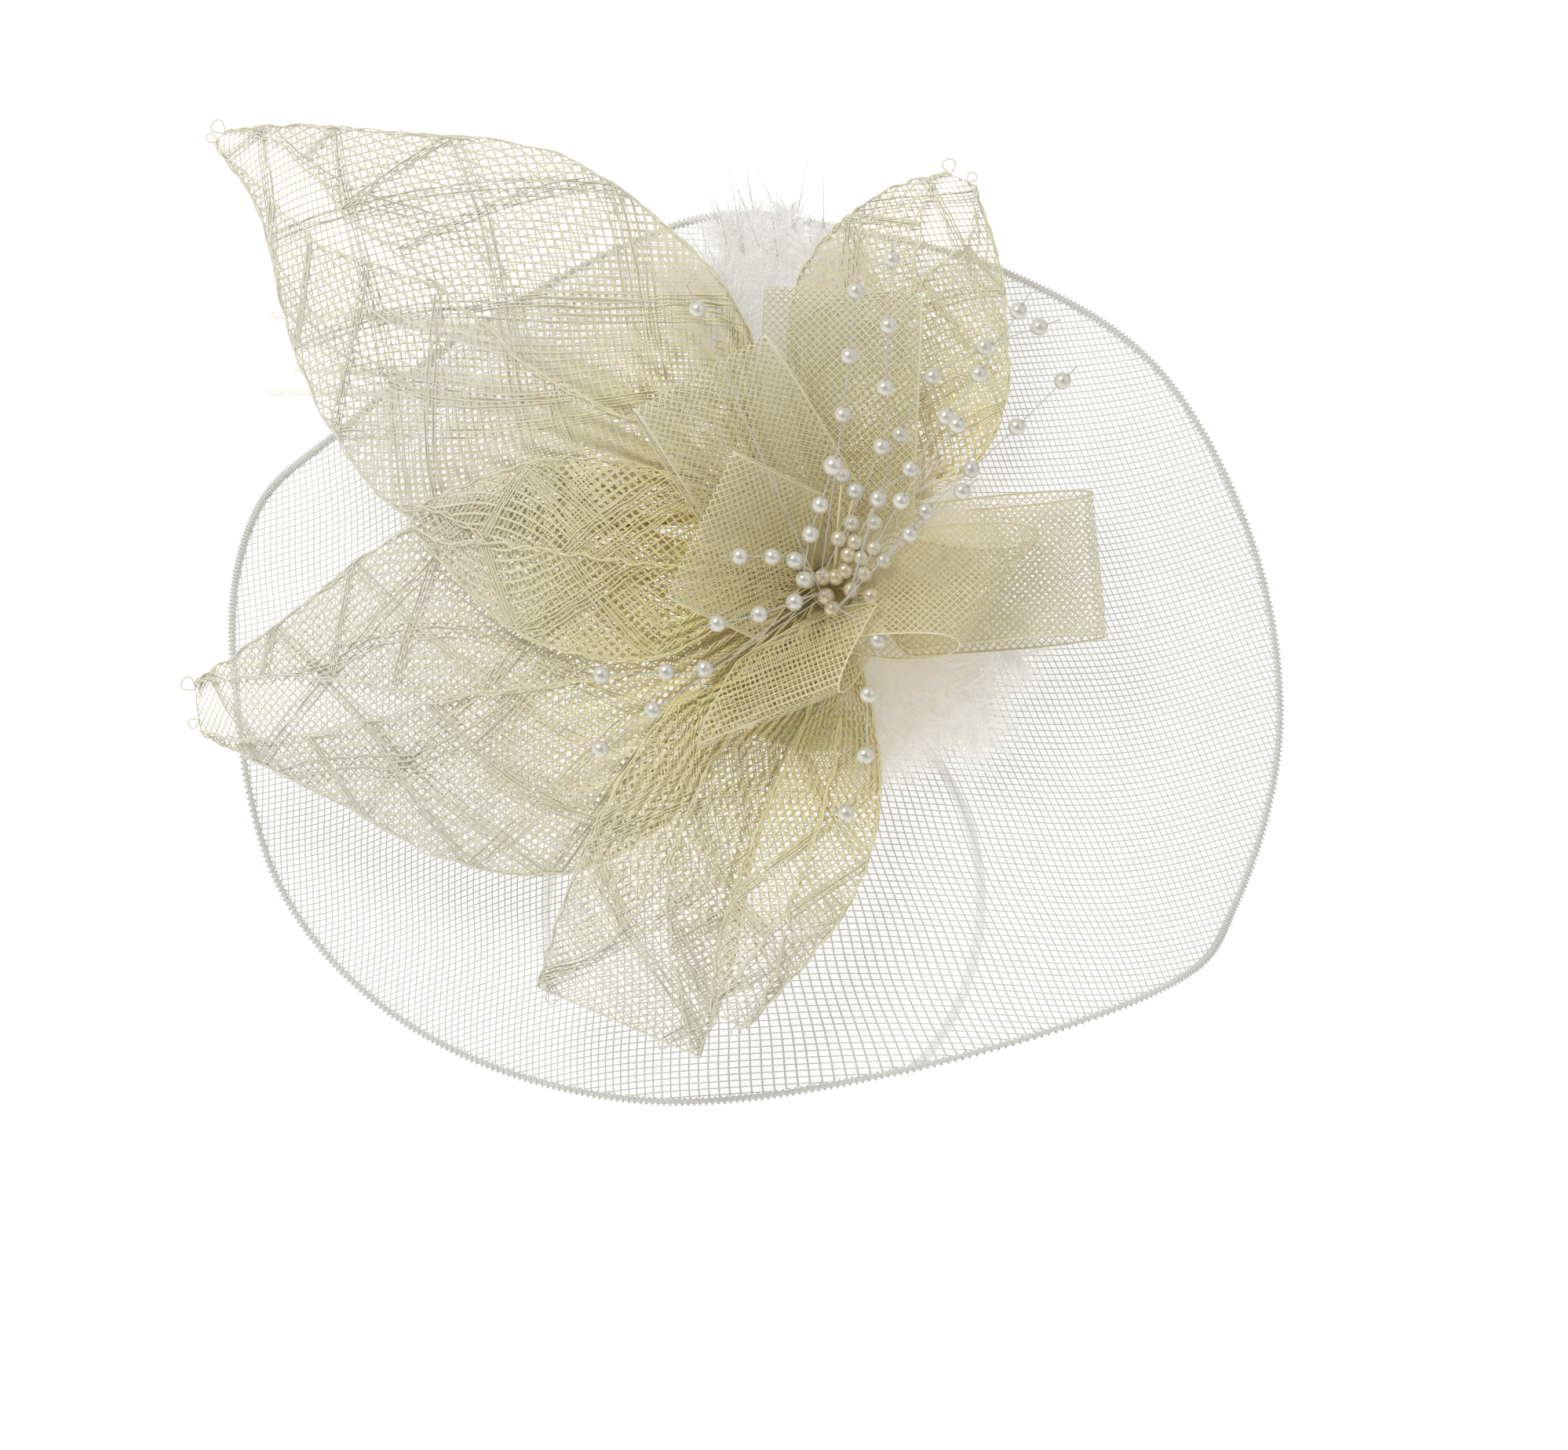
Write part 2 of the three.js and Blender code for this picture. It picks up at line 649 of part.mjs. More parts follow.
function trim() {
  const sinamay = material(colours.sinamay);
  const crin = material(colours.crin, 0.6);
  const feather = material(colours.feather, 0.95);
  const pearlFinish = material(colours.pearl, 0.25);
  const group = new THREE.Group();
  group.add(basePad(material(colours.felt, 0.95)));
  group.add(bandSleeve(material(colours.felt, 0.95)));
  group.add(stem(material(colours.tape)));
  group.add(brimNet(material(colours.net, 0.6)));
  group.add(brimEdge(material(colours.edging)));
  leaves.forEach((leaf) => group.add(sinamayLeaf(leaf, sinamay)));
  loops.forEach((loop) => group.add(crinLoop(loop, crin)));
  group.add(crinBackLoop(crin));
  feathers.forEach((fan) => group.add(featherFan(fan, feather)));
  sprays.forEach((spray) => group.add(pearlSpray(spray, pearlFinish)));
  group.add(stamenCluster(pearlFinish));
  group.applyMatrix4(trimMatrix());
  return group;
}

const fascinator = new THREE.Group();
fascinator.add(headband(material(colours.satin, 0.45)));
fascinator.add(trim());

export default fascinator;
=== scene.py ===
import json
import math
import random

import bpy
import numpy as np
from mathutils import Matrix, Vector


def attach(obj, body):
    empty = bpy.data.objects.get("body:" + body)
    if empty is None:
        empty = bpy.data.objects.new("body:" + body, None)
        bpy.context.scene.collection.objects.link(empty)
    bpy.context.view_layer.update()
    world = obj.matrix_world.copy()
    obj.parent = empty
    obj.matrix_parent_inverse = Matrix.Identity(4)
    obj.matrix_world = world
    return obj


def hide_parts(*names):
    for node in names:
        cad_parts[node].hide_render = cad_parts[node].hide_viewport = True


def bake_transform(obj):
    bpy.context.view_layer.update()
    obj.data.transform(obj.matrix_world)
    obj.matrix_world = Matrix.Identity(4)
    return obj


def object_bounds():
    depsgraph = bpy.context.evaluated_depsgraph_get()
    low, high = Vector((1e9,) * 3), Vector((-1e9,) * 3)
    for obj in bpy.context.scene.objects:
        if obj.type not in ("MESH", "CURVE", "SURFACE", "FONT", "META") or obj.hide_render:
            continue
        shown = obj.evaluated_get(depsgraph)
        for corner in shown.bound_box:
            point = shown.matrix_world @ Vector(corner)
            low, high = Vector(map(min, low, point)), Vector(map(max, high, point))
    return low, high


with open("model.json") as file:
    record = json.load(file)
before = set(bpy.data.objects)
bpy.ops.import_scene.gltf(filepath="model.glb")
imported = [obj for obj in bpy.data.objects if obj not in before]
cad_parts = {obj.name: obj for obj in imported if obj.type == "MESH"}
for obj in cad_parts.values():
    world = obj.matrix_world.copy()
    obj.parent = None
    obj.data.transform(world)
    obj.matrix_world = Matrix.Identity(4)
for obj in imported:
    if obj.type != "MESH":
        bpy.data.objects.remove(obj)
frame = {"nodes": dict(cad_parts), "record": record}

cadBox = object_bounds()
record = frame["record"]
mm = 0.001
print("frame loaded:", len(frame["nodes"]), "nodes")


# the trim's own frame: x across, y up, z out of the brim's face, in millimetres
trim = {
    "tilt": math.radians(28),
    "roll": math.radians(18),
    "crown": (1.25, -32.5, -7.665),  # where the band's axis crosses behind the trim
    "hub": (0, 0, 12),  # middle of the bound stem
}

hingePoint = Vector(next(j for j in record["behaviour"]["joints"] if j["name"] == "trim_swing")["pos_m"])
levelAxis = Vector((1, 0, 0))
slopeAxis = Vector((0, math.sin(trim["tilt"]), math.cos(trim["tilt"])))
acrossAxis = levelAxis * math.cos(trim["roll"]) + slopeAxis * math.sin(trim["roll"])
upAxis = slopeAxis * math.cos(trim["roll"]) - levelAxis * math.sin(trim["roll"])
outAxis = acrossAxis.cross(upAxis)
trimTurn = Matrix((acrossAxis, upAxis, outAxis)).transposed()
trimOrigin = hingePoint - trimTurn @ (Vector(trim["crown"]) * mm)
turnArray = np.array(trimTurn)
originArray = np.array(trimOrigin)


def place(x, y, z):
    return trimOrigin + trimTurn @ Vector((x, y, z)) * mm


def placeAll(points):
    return np.asarray(points, dtype=float) @ turnArray.T * mm + originArray


def polar(radius, degrees):
    angle = math.radians(degrees)
    return np.array((radius * math.cos(angle), radius * math.sin(angle)))


def ease(low, high, value):
    share = min(1, max(0, (value - low) / (high - low)))
    return share * share * (3 - 2 * share)


def mix(a, b, share):
    return a + (b - a) * share


def deselectAll():
    bpy.ops.object.select_all(action="DESELECT")


def pick(obj):
    deselectAll()
    obj.select_set(True)
    bpy.context.view_layer.objects.active = obj


def finish(obj, name, materials, body="trim"):
    obj.name = name
    obj.data.name = name
    obj.data.materials.clear()
    for one in materials:
        obj.data.materials.append(one)
    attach(obj, body)
    return obj


def joined(objects):
    pick(objects[0])
    for other in objects[1:]:
        other.select_set(True)
    if len(objects) > 1:
        bpy.ops.object.join()
    return bpy.context.object


def smooth(obj, degrees=60):
    pick(obj)
    bpy.ops.object.shade_smooth_by_angle(angle=math.radians(degrees))


def splinePoint(points, share, closed=False):
    # a smooth curve through the points, share running from 0 to 1
    count = len(points) if closed else len(points) - 1
    run = share % 1 * count if closed else min(share, 0.999999) * count
    step = int(run)
    part = run - step

    def at(k):
        if closed:
            return points[k % count]
        if k < 0:
            return 2 * points[0] - points[1]
        if k > count:
            return 2 * points[-1] - points[-2]
        return points[k]
    a, b, c, d = (at(step + k) for k in (-1, 0, 1, 2))
    return 0.5 * (2 * b + (c - a) * part + (2 * a - 5 * b + 4 * c - d) * part**2
                  + (3 * b - a - 3 * c + d) * part**3)


def clothSheet(rows, columns, pointAt, weaveAt):
    # a grid laid over a surface, with a second UV map that holds the weave in millimetres
    deselectAll()
    bpy.ops.mesh.primitive_grid_add(x_subdivisions=rows, y_subdivisions=columns, size=1)
    obj = bpy.context.object
    mesh = obj.data
    shares = [(v.co.x + 0.5, v.co.y + 0.5) for v in mesh.vertices]
    spots = placeAll([pointAt(s, t) for s, t in shares])
    mesh.vertices.foreach_set("co", spots.ravel())
    weave = np.array([weaveAt(s, t) for s, t in shares])
    layer = mesh.uv_layers.new(name="weave")
    corners = np.zeros(len(mesh.loops), dtype=np.int32)
    mesh.loops.foreach_get("vertex_index", corners)
    layer.data.foreach_set("uv", weave[corners].ravel())
    mesh.update()
    for polygon in mesh.polygons:
        polygon.use_smooth = True
    return obj


def tubes(lines, radius, sides=1, taper=False, cyclic=False):
    # round cords along lists of points given in the trim's frame
    curve = bpy.data.curves.new("cords", "CURVE")
    curve.dimensions = "3D"
    curve.bevel_depth = radius * mm
    curve.bevel_resolution = sides
    curve.use_fill_caps = True
    for line in lines:
        spots = placeAll(line)
        spline = curve.splines.new("POLY")
        spline.points.add(len(spots) - 1)
        spline.use_cyclic_u = cyclic
        flat = np.ones((len(spots), 4))
        flat[:, :3] = spots
        spline.points.foreach_set("co", flat.ravel())
        if taper:
            spline.points.foreach_set("radius", np.linspace(1, 0.35, len(spots)))
    obj = bpy.data.objects.new("cords", curve)
    bpy.context.scene.collection.objects.link(obj)
    pick(obj)
    bpy.ops.object.convert(target="MESH")
    obj = bpy.context.object
    for polygon in obj.data.polygons:
        polygon.use_smooth = True
    return obj


def strips(lines, widths):
    # flat tapering fibres: each line is a list of points, and widths their widths in millimetres
    spots, faces = [], []
    for line, width in zip(lines, widths):
        line = np.asarray(line, dtype=float)
        along = np.gradient(line, axis=0)
        side = np.cross(along, fibreFacing(along))
        side /= np.linalg.norm(side, axis=1)[:, None] + 1e-9
        half = np.linspace(1, 0.25, len(line))[:, None] * width / 2
        start = len(spots)
        for left, right in zip(line - side * half, line + side * half):
            spots += [left, right]
        for k in range(len(line) - 1):
            a = start + 2 * k
            faces.append((a, a + 1, a + 3, a + 2))
    mesh = bpy.data.meshes.new("fibres")
    mesh.from_pydata(placeAll(spots).tolist(), [], faces)
    mesh.update()
    obj = bpy.data.objects.new("fibres", mesh)
    bpy.context.scene.collection.objects.link(obj)
    return obj


def fibreFacing(along):
    # fibres lie mostly flat to the brim's face, each turned a little
    turn = np.random.uniform(-0.7, 0.7, 3)
    return np.tile(np.array((turn[0], turn[1], 1.0)), (len(along), 1))


class Shade:
    # a value on its way through a material, so that sums read as sums
    def __init__(self, tree, socket=None):
        self.tree = tree
        self.socket = socket

    def node(self, kind, settings=None, inputs=None, output=0):
        made = self.tree.nodes.new(kind)
        for key, value in (settings or {}).items():
            if key == "stops":
                ramp = made.color_ramp
                while len(ramp.elements) < len(value):
                    ramp.elements.new(0.5)
                for element, (position, colour) in zip(ramp.elements, value):
                    element.position = position
                    element.color = (*colour, 1)
            else:
                setattr(made, key, value)
        for key, value in (inputs or {}).items():
            target = made.inputs[key]
            if isinstance(value, Shade):
                self.tree.links.new(value.socket, target)
            else:
                target.default_value = value
        return Shade(self.tree, made.outputs[output])

    def maths(self, operation, *values):
        return self.node("ShaderNodeMath", {"operation": operation}, dict(enumerate(values)))

    def __add__(self, other):
        return self.maths("ADD", self, other)

    __radd__ = __add__

    def __sub__(self, other):
        return self.maths("SUBTRACT", self, other)

    def __rsub__(self, other):
        return self.maths("SUBTRACT", other, self)

    def __mul__(self, other):
        return self.maths("MULTIPLY", self, other)

    __rmul__ = __mul__

    def __truediv__(self, other):
        return self.maths("DIVIDE", self, other)

    def __lt__(self, other):
        return self.maths("LESS_THAN", self, other)

    def fract(self):
        return self.maths("FRACT", self)

    def size(self):
        return self.maths("ABSOLUTE", self)

    def most(self, other):
        return self.maths("MAXIMUM", self, other)

    def parts(self):
        made = self.node("ShaderNodeSeparateXYZ", None, {0: self})
        return [Shade(self.tree, made.socket.node.outputs[k]) for k in range(3)]

    def colours(self, first, second):
        settings = {"data_type": "RGBA"}
        return self.node("ShaderNodeMix", settings, {0: self, 6: (*first, 1), 7: second}, 2)


def newMaterial(name, roughness=0.6, sheen=0.0, coat=0.0):
    material = bpy.data.materials.new(name)
    material.use_nodes = True
    shader = material.node_tree.nodes["Principled BSDF"]
    shader.inputs["Roughness"].default_value = roughness
    shader.inputs["Sheen Weight"].default_value = sheen
    shader.inputs["Coat Weight"].default_value = coat
    return material, Shade(material.node_tree), shader


def feed(shade, value, target):
    shade.tree.links.new(value.socket, target)


def paintedHubShade(shade, reach):
    # 1 close to the bound stem, falling to 0 at the given reach in millimetres: the mask of the painted
    # shade, a deep yellow that stands for light passing through the stacked layers near the stem
    spot = shade.node("ShaderNodeTexCoord", None, None, 3)
    away = shade.node("ShaderNodeVectorMath", {"operation": "DISTANCE"},
                      {0: spot, 1: place(*trim["hub"])}, 1)
    return shade.node("ShaderNodeMapRange", {"interpolation_type": "SMOOTHSTEP"},
                      {0: away, 1: 0.01, 2: reach * mm, 3: 1.0, 4: 0.0})


def noise(shade, scale, detail=2.0, source=None):
    spot = source or shade.node("ShaderNodeTexCoord", None, None, 3)
    return shade.node("ShaderNodeTexNoise", None, {"Vector": spot, "Scale": scale, "Detail": detail})


def colourOf(shade, value):
    return shade.node("ShaderNodeCombineColor", None, {0: value[0], 1: value[1], 2: value[2]})


def weaveMaterial(name, look):
    material, shade, shader = newMaterial(name, look["roughness"], look["sheen"])
    weave = shade.node("ShaderNodeUVMap", {"uv_map": "weave"})
    drift = noise(shade, look["driftScale"], 1.0, weave) - 0.5
    u, v, _ = weave.parts()
    u = u + drift * look["drift"]
    v = v - drift * look["drift"]
    half = look["thread"] / look["pitch"] / 2
    across = ((u / look["pitch"]).fract() - 0.5).size()
    along = ((v / look["pitch"]).fract() - 0.5).size()
    mask = (across < half).most(along < half)
    if look.get("selvedge"):
        edge = shade.node("ShaderNodeUVMap", {"uv_map": "UVMap"}).parts()[1]
        mask = mask.most((0.5 - (edge - 0.5).size()) < look["selvedge"])
    if look.get("haze"):
        mask = mask.most(look["haze"])
    mottled = noise(shade, 90.0, 3.0)
    base = mottled.colours(look["pale"], colourOf(shade, look["colour"]))
    # painted shade: towards the stem the colour is pulled to a deep yellow that stands for backlight through
    # the stacked layers
    hubShadeAmount = paintedHubShade(shade, look["reach"]) * look["paintedHubShade"]
    tint = hubShadeAmount.node("ShaderNodeMix", {"data_type": "RGBA"}, {0: hubShadeAmount, 6: base, 7: (*look["hubShadeColour"], 1)}, 2)
    feed(shade, tint, shader.inputs["Base Color"])
    feed(shade, mask, shader.inputs["Alpha"])
    height = (1 - across * 2).most(1 - along * 2)
    bump = shade.node("ShaderNodeBump", None, {"Strength": 0.5, "Distance": 0.0003, "Height": height})
    feed(shade, bump, shader.inputs["Normal"])
    return material


def fibreMaterial(name, colour, hubShadeColour, reach, roughness=0.7, share=0.5, glow=0.0):
    # down and thin quill let light through, and the glow stands for it
    material, shade, shader = newMaterial(name, roughness, 0.3)
    shader.inputs["Emission Color"].default_value = (1, 1, 1, 1)
    shader.inputs["Emission Strength"].default_value = glow
    base = noise(shade, 140.0).colours(colour, colourOf(shade, tuple(c * 0.94 for c in colour)))
    # painted shade: towards the stem the fibre colour is pulled to a deep yellow that stands for backlight
    # through the stacked layers
    hubShadeAmount = paintedHubShade(shade, reach) * share
    tint = hubShadeAmount.node("ShaderNodeMix", {"data_type": "RGBA"}, {0: hubShadeAmount, 6: base, 7: (*hubShadeColour, 1)}, 2)
    feed(shade, tint, shader.inputs["Base Color"])
    return material


# the deep yellow in each look is painted shade near the stem, standing for light through the stacked layers
sinamayLook = {
    "pitch": 2.35, "thread": 0.52, "drift": 0.6, "driftScale": 0.05,
    "pale": (0.79, 0.77, 0.62), "colour": (0.70, 0.675, 0.53), "hubShadeColour": (0.83, 0.70, 0.26),
    "paintedHubShade": 1.0, "reach": 148, "roughness": 0.55, "sheen": 0.15,
}
netLook = {
    "pitch": 2.0, "thread": 0.34, "drift": 0.8, "haze": 0.42, "driftScale": 0.02,
    "pale": (0.75, 0.745, 0.725), "colour": (0.69, 0.685, 0.665), "hubShadeColour": (0.66, 0.61, 0.42),
    "paintedHubShade": 0.4, "reach": 90, "roughness": 0.4, "sheen": 0.0,
}
crinLook = {
    "pitch": 1.8, "thread": 0.4, "drift": 0.4, "driftScale": 0.05, "selvedge": 0.012,
    "pale": (0.73, 0.71, 0.55), "colour": (0.64, 0.615, 0.455), "hubShadeColour": (0.70, 0.60, 0.27),
    "paintedHubShade": 0.75, "reach": 118, "roughness": 0.4, "sheen": 0.1,
}
sinamay = weaveMaterial("sinamay weave", sinamayLook)
brimWeave = weaveMaterial("crin net", netLook)
crinWeave = weaveMaterial("crin ribbon mesh", crinLook)
# the second colour of each fibre is painted shade near the stem, a deep yellow that stands for light through
# the stacked layers
sinamayCord = fibreMaterial("sinamay edge thread", (0.77, 0.75, 0.61), (0.86, 0.74, 0.32), 158, 0.5, 0.9)
crinCord = fibreMaterial("crin ribbon edge thread", (0.78, 0.76, 0.61), (0.74, 0.63, 0.30), 110, 0.4, 0.8)
edgeStitch = fibreMaterial("overlocked nylon", (0.75, 0.745, 0.70), (0.60, 0.56, 0.4), 60, 0.35)
downWhite = fibreMaterial("marabou down", (0.87, 0.86, 0.84), (0.92, 0.85, 0.66), 85, 0.9, 0.8, 0.12)
quillTip = fibreMaterial("bare quill tip", (0.62, 0.62, 0.60), (0.70, 0.66, 0.50), 50, 0.6)
quillCream = fibreMaterial("stripped quill", (0.95, 0.94, 0.88), (0.85, 0.76, 0.5), 80, 0.5, 0.5, 0.02)
print("materials made")


brim = {
    "outline": [(-191, -22), (-184, 24), (-157, 50), (-110, 85), (-45, 117), (5, 114), (56, 100),
                (103, 70), (133, 15), (142, -45), (128, -100), (104, -127), (20, -153), (-60, -162),
                (-130, -141), (-176, -94)],
    "centre": (-20, -25),
    "flat": 46, "padCentre": (-4, -14),
    "level": 16, "perHeight": 0.1, "wave": 3,
    "dish": 130,  # how far past the base the net has dropped by its full amount
    "edge": 1.25, "edgeOut": 1.0, "core": 0.95, "around": 980, "turnSteps": 7,
    "stitchPitch": 1.5, "stitchThread": 0.32, "stitchStray": 0.1, "stitchFlat": 0.8,
    "leanRight": 0.42, "leanLeft": 0.26, "pull": 11, "ripple": 0.35, "swayAcross": 3, "swayUp": 2.5,
}
brimPoints = [np.array(p, dtype=float) for p in brim["outline"]]


def brimHeight(x, y):
    reach = math.hypot(x - brim["padCentre"][0], y - brim["padCentre"][1]) - brim["flat"]
    past = max(0, reach) / brim["dish"]
    drop = max(0, brim["level"] + brim["perHeight"] * y)
    return past * past * (brim["wave"] * math.sin(3 * math.atan2(y, x)) - drop)


def brimSpot(s, t):
    # a square spread over the outline, so that the middle has no pinch
    a, b = 2 * s - 1, 2 * t - 1
    ring = max(abs(a), abs(b))
    if ring < 1e-6:
        x, y = brim["centre"]
    else:
        share = (0.5 - math.atan2(b, a) / (2 * math.pi)) % 1
        x, y = mix(np.array(brim["centre"], dtype=float), splinePoint(brimPoints, share, True), ring)
    return x, y, brimHeight(x, y)


def netLines(x, y):
    # the net is stretched out of true: square on the left, leaning on the right, with slow waves
    right = ease(-90, 110, x)
    left = ease(-40, -170, x) if x < -40 else 0
    u = x + brim["leanRight"] * y * right + brim["swayAcross"] * math.sin(y / 60)
    u += brim["ripple"] * math.sin(y / 7 + x / 30)
    v = y - brim["leanLeft"] * (x + 40) * left + brim["swayUp"] * math.sin(x / 38 + y / 70)
    v -= brim["pull"] * ease(60, 150, x) ** 2
    return u, v


def makeBrim():
    net = clothSheet(80, 80, brimSpot, lambda s, t: netLines(*brimSpot(s, t)[:2]))
    finish(net, "brimNet", [brimWeave])
    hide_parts("brim_net")
    core, wrap = [], []
    turns = int(brim["around"] / brim["stitchPitch"])
    steps = turns * brim["turnSteps"]
    for k in range(steps):
        share = k / steps
        spot = splinePoint(brimPoints, share, True)
        ahead = splinePoint(brimPoints, share + 0.001, True) - spot
        out = np.array((-ahead[1], ahead[0])) / (np.hypot(*ahead) + 1e-9)
        height = brimHeight(*spot)
        middle = spot + out * brim["edgeOut"]
        if k % brim["turnSteps"] == 0:
            core.append((*middle, height))
        angle = 2 * math.pi * turns * share
        reach = brim["edge"] * (1 + brim["stitchStray"] * math.cos(angle))
        over = height + brim["stitchFlat"] * reach * math.sin(angle)
        wrap.append((*(middle + out * reach * math.cos(angle)), over))
    hem = joined([tubes([core], brim["core"], 1, cyclic=True),
                  tubes([wrap], brim["stitchThread"], 1, cyclic=True)])
    finish(hem, "brimEdging", [edgeStitch])
    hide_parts("brim_edge")
    # the cut is the outline laid flat: its two sides, and the area inside it
    cut = np.array([splinePoint(brimPoints, k / 400, True) for k in range(400)]) * mm
    ahead = np.roll(cut, -1, axis=0)
    area = abs(float(np.sum(cut[:, 0] * ahead[:, 1] - ahead[:, 0] * cut[:, 1]))) / 2
    print("brim cut", np.round(np.ptp(cut, axis=0), 4), "area", round(area, 5))


makeBrim()
print("brim made")


leafCommon = {"stem": 7.3, "root": 4.6, "rise": 0.05, "fan": 80, "camber": 3, "flapLift": 1.4,
              "slack": 1.05, "gather": 0.2, "pleats": 14, "pleatLow": 0.55, "pleatGrow": 0.02,
              "pleatStray": 0.012,
              "ribPitch": 36, "ribThreads": 4, "ribSpacing": 1.25, "ribRadius": 0.28, "ribLift": 0.25,
              "edgeStrands": 3, "edgeWave": 0.45, "flapStrands": 2, "flapWave": 0.7, "edgeRadius": 0.27,
              "curls": [(0.15, 5.0), (0.75, 3.6)], "ripple": 0.5}
leafSet = {
    "leafTopLeft": {
        "node": "leaf_top_left", "shift": 0.35, "root": 126, "level": 6, "meet": 0.56, "turn": 45,
        "upper": [(-20, 44), (-27, 82), (-48, 110), (-88, 137), (-140, 143), (-170, 145), (-190, 143)],
        "lower": [(-40, 20), (-85, 17), (-133, 22), (-158, 50), (-171, 80), (-180, 117), (-194, 139)],
    },
    "leafLeftLower": {
        "node": "leaf_left_lower", "shift": 0.1, "root": 200, "level": 4.4, "meet": 0.5, "turn": 40,
        "upper": [(-25, 6), (-65, 20), (-108, 26), (-140, 15), (-165, -4), (-188, -21), (-201, -30)],
        "lower": [(-22, -26), (-48, -70), (-84, -90), (-122, -86), (-152, -70), (-180, -56), (-199, -46)],
    },
    "leafLeftUpper": {
        "node": "leaf_left_upper", "shift": 0.5, "root": 163, "level": 8.2, "meet": 0.8, "turn": 45,
        "upper": [(-24, 18), (-50, 35), (-80, 41), (-106, 36), (-131, 25)],
        "lower": [(-25, -6), (-55, -22), (-85, -20), (-108, -8), (-133, 19)],
    },
    "leafBottomLeft": {
        "node": "leaf_bottom_left", "shift": 0.2, "root": 241, "level": 6, "meet": 0.6, "turn": 50,
        "upper": [(-18, -24), (-50, -38), (-72, -70), (-86, -103), (-93, -126)],
        "lower": [(-4, -32), (-18, -60), (-26, -90), (-32, -120), (-42, -148)],
    },
    "leafBottomRight": {
        "node": "leaf_bottom_right", "shift": 0.6, "root": 283, "level": 8.2, "meet": 0.7, "turn": 45,
        "upper": [(-4, -30), (-14, -55), (-27, -85), (-36, -113), (-38, -134)],
        "lower": [(10, -28), (15, -58), (12, -84), (0, -108), (-27, -139)],
    },
    "leafTopRight": {
        "node": "leaf_top_right", "shift": 0.4, "root": 68, "level": 4.4, "meet": 0.6, "turn": 45,
        "upper": [(-4, 28), (-13, 62), (-12, 94), (0, 113), (18, 126), (36, 131)],
        "lower": [(18, 22), (44, 38), (55, 60), (55, 84), (53, 102), (45, 127)],
    },
}


def leafShape(leaf):
    half = math.degrees(math.asin(leafCommon["root"] / 2 / leafCommon["stem"]))
    firstAngle = math.degrees(math.atan2(leaf["upper"][0][1], leaf["upper"][0][0])) - leaf["root"]
    side = 1 if math.sin(math.radians(firstAngle)) > 0 else -1
    upper = [polar(leafCommon["stem"], leaf["root"] + side * half)]
    upper += [np.array(p, float) for p in leaf["upper"]]
    lower = [polar(leafCommon["stem"], leaf["root"] - side * half)]
    lower += [np.array(p, float) for p in leaf["lower"]]
    tip = (upper[-1] + lower[-1]) / 2
    length = np.hypot(*tip)

    def flat(s, t):
        return mix(splinePoint(upper, s), splinePoint(lower, s), t)

    # the pattern: full width from the root to the widest place, where the edges then taper to the tip
    turn = math.radians(leaf["turn"])
    stations = np.linspace(0, 1, 81)
    spans = np.array([np.hypot(*(flat(s, 1) - flat(s, 0))) for s in stations])
    widest = int(np.argmax(spans))
    widths = spans.copy()
    inside = 1 - stations[:widest + 1] / stations[widest]
    widths[:widest + 1] = spans[widest] * (1 + leafCommon["gather"] * inside**2)

    # what the pattern has to spare stands up in pleats, as high as the neighbours leave room for
    spare = np.sqrt(np.maximum((widths / np.maximum(spans, 1.0)) ** 2 - 1, 0))
    room = leafCommon["pleatLow"] + leafCommon["pleatGrow"] * stations * length
    heights = np.minimum(spans / leafCommon["pleats"] / 4 * spare, room)

    def spot(s, t, lift=0.0):
        x, y = flat(s, t)
        reach = math.hypot(x, y)
        stray = leafCommon["pleatStray"] * math.sin(2 * math.pi * t) * math.sin(5 * s + leaf["root"])
        lift += np.interp(s, stations, heights) * math.sin(2 * math.pi * leafCommon["pleats"] * (t + stray))
        crown = math.sin(math.pi * min(1, max(0, t))) ** 2 * min(1, reach / leafCommon["fan"])
        z = leaf["level"] * (1 + reach / leafCommon["fan"]) + leafCommon["rise"] * reach
        ripple = leafCommon["ripple"] * math.sin(s * 37 + t * 5) * abs(2 * t - 1) ** 3
        return x, y, z + leafCommon["camber"] * crown + lift + ripple

    def weave(s, t):
        b = (t - 0.5) * np.interp(s, stations, widths)
        a = s * length * leafCommon["slack"]
        return a * math.cos(turn) + b * math.sin(turn), b * math.cos(turn) - a * math.sin(turn)

    def crossing(s, level, family):
        # where, across the leaf, the thread at a given place in one family of the weave passes
        a = s * length * leafCommon["slack"]
        wide = np.interp(s, stations, widths)
        if family == 0:
            return 0.5 + (level - a * math.cos(turn)) / (wide * math.sin(turn))
        return 0.5 + (level + a * math.sin(turn)) / (wide * math.cos(turn))

    # the flat cut is the leaf and, past each folded edge, its flap
    cut = widths * np.array([1 + 2 * flapShare(leaf, s) for s in stations])
    cutLength = length * leafCommon["slack"]
    cutArea = float(np.sum(cut[1:] + cut[:-1])) / 2 * cutLength / (len(stations) - 1)
    return spot, weave, crossing, (float(cut.max()) * mm, cutLength * mm), cutArea * mm * mm


def flapShare(leaf, s):
    # how far each folded flap reaches in from its edge
    past = max(0, s - leaf["meet"]) / (1.02 - leaf["meet"])
    return 0.5 * (1 - past**1.6)


def wavy(points, size, rate, seed):
    # a raw edge that has frayed and shrunk into small waves
    dice = random.Random(seed)
    phase = dice.uniform(0, 6)
    return [(x + size * math.sin(k * rate + phase), y + size * math.cos(k * rate * 1.3),
             z + size * 0.6 * math.sin(k * rate * 0.7)) for k, (x, y, z) in enumerate(points)]


def folded(leaf, spot, s, t, lift=0.0):
    # past an edge the cloth comes back over the leaf as a flap
    if 0 <= t <= 1:
        return spot(s, t, lift)
    side = 0 if t < 0 else 1
    share = -t if t < 0 else t - 1
    reach = max(flapShare(leaf, s), 0.01)
    raised = leafCommon["flapLift"] * min(1, share / reach) * (0.6 + 0.4 * math.sin(s * 9 + side * 2))
    return spot(s, share if side == 0 else 1 - share, lift + raised)


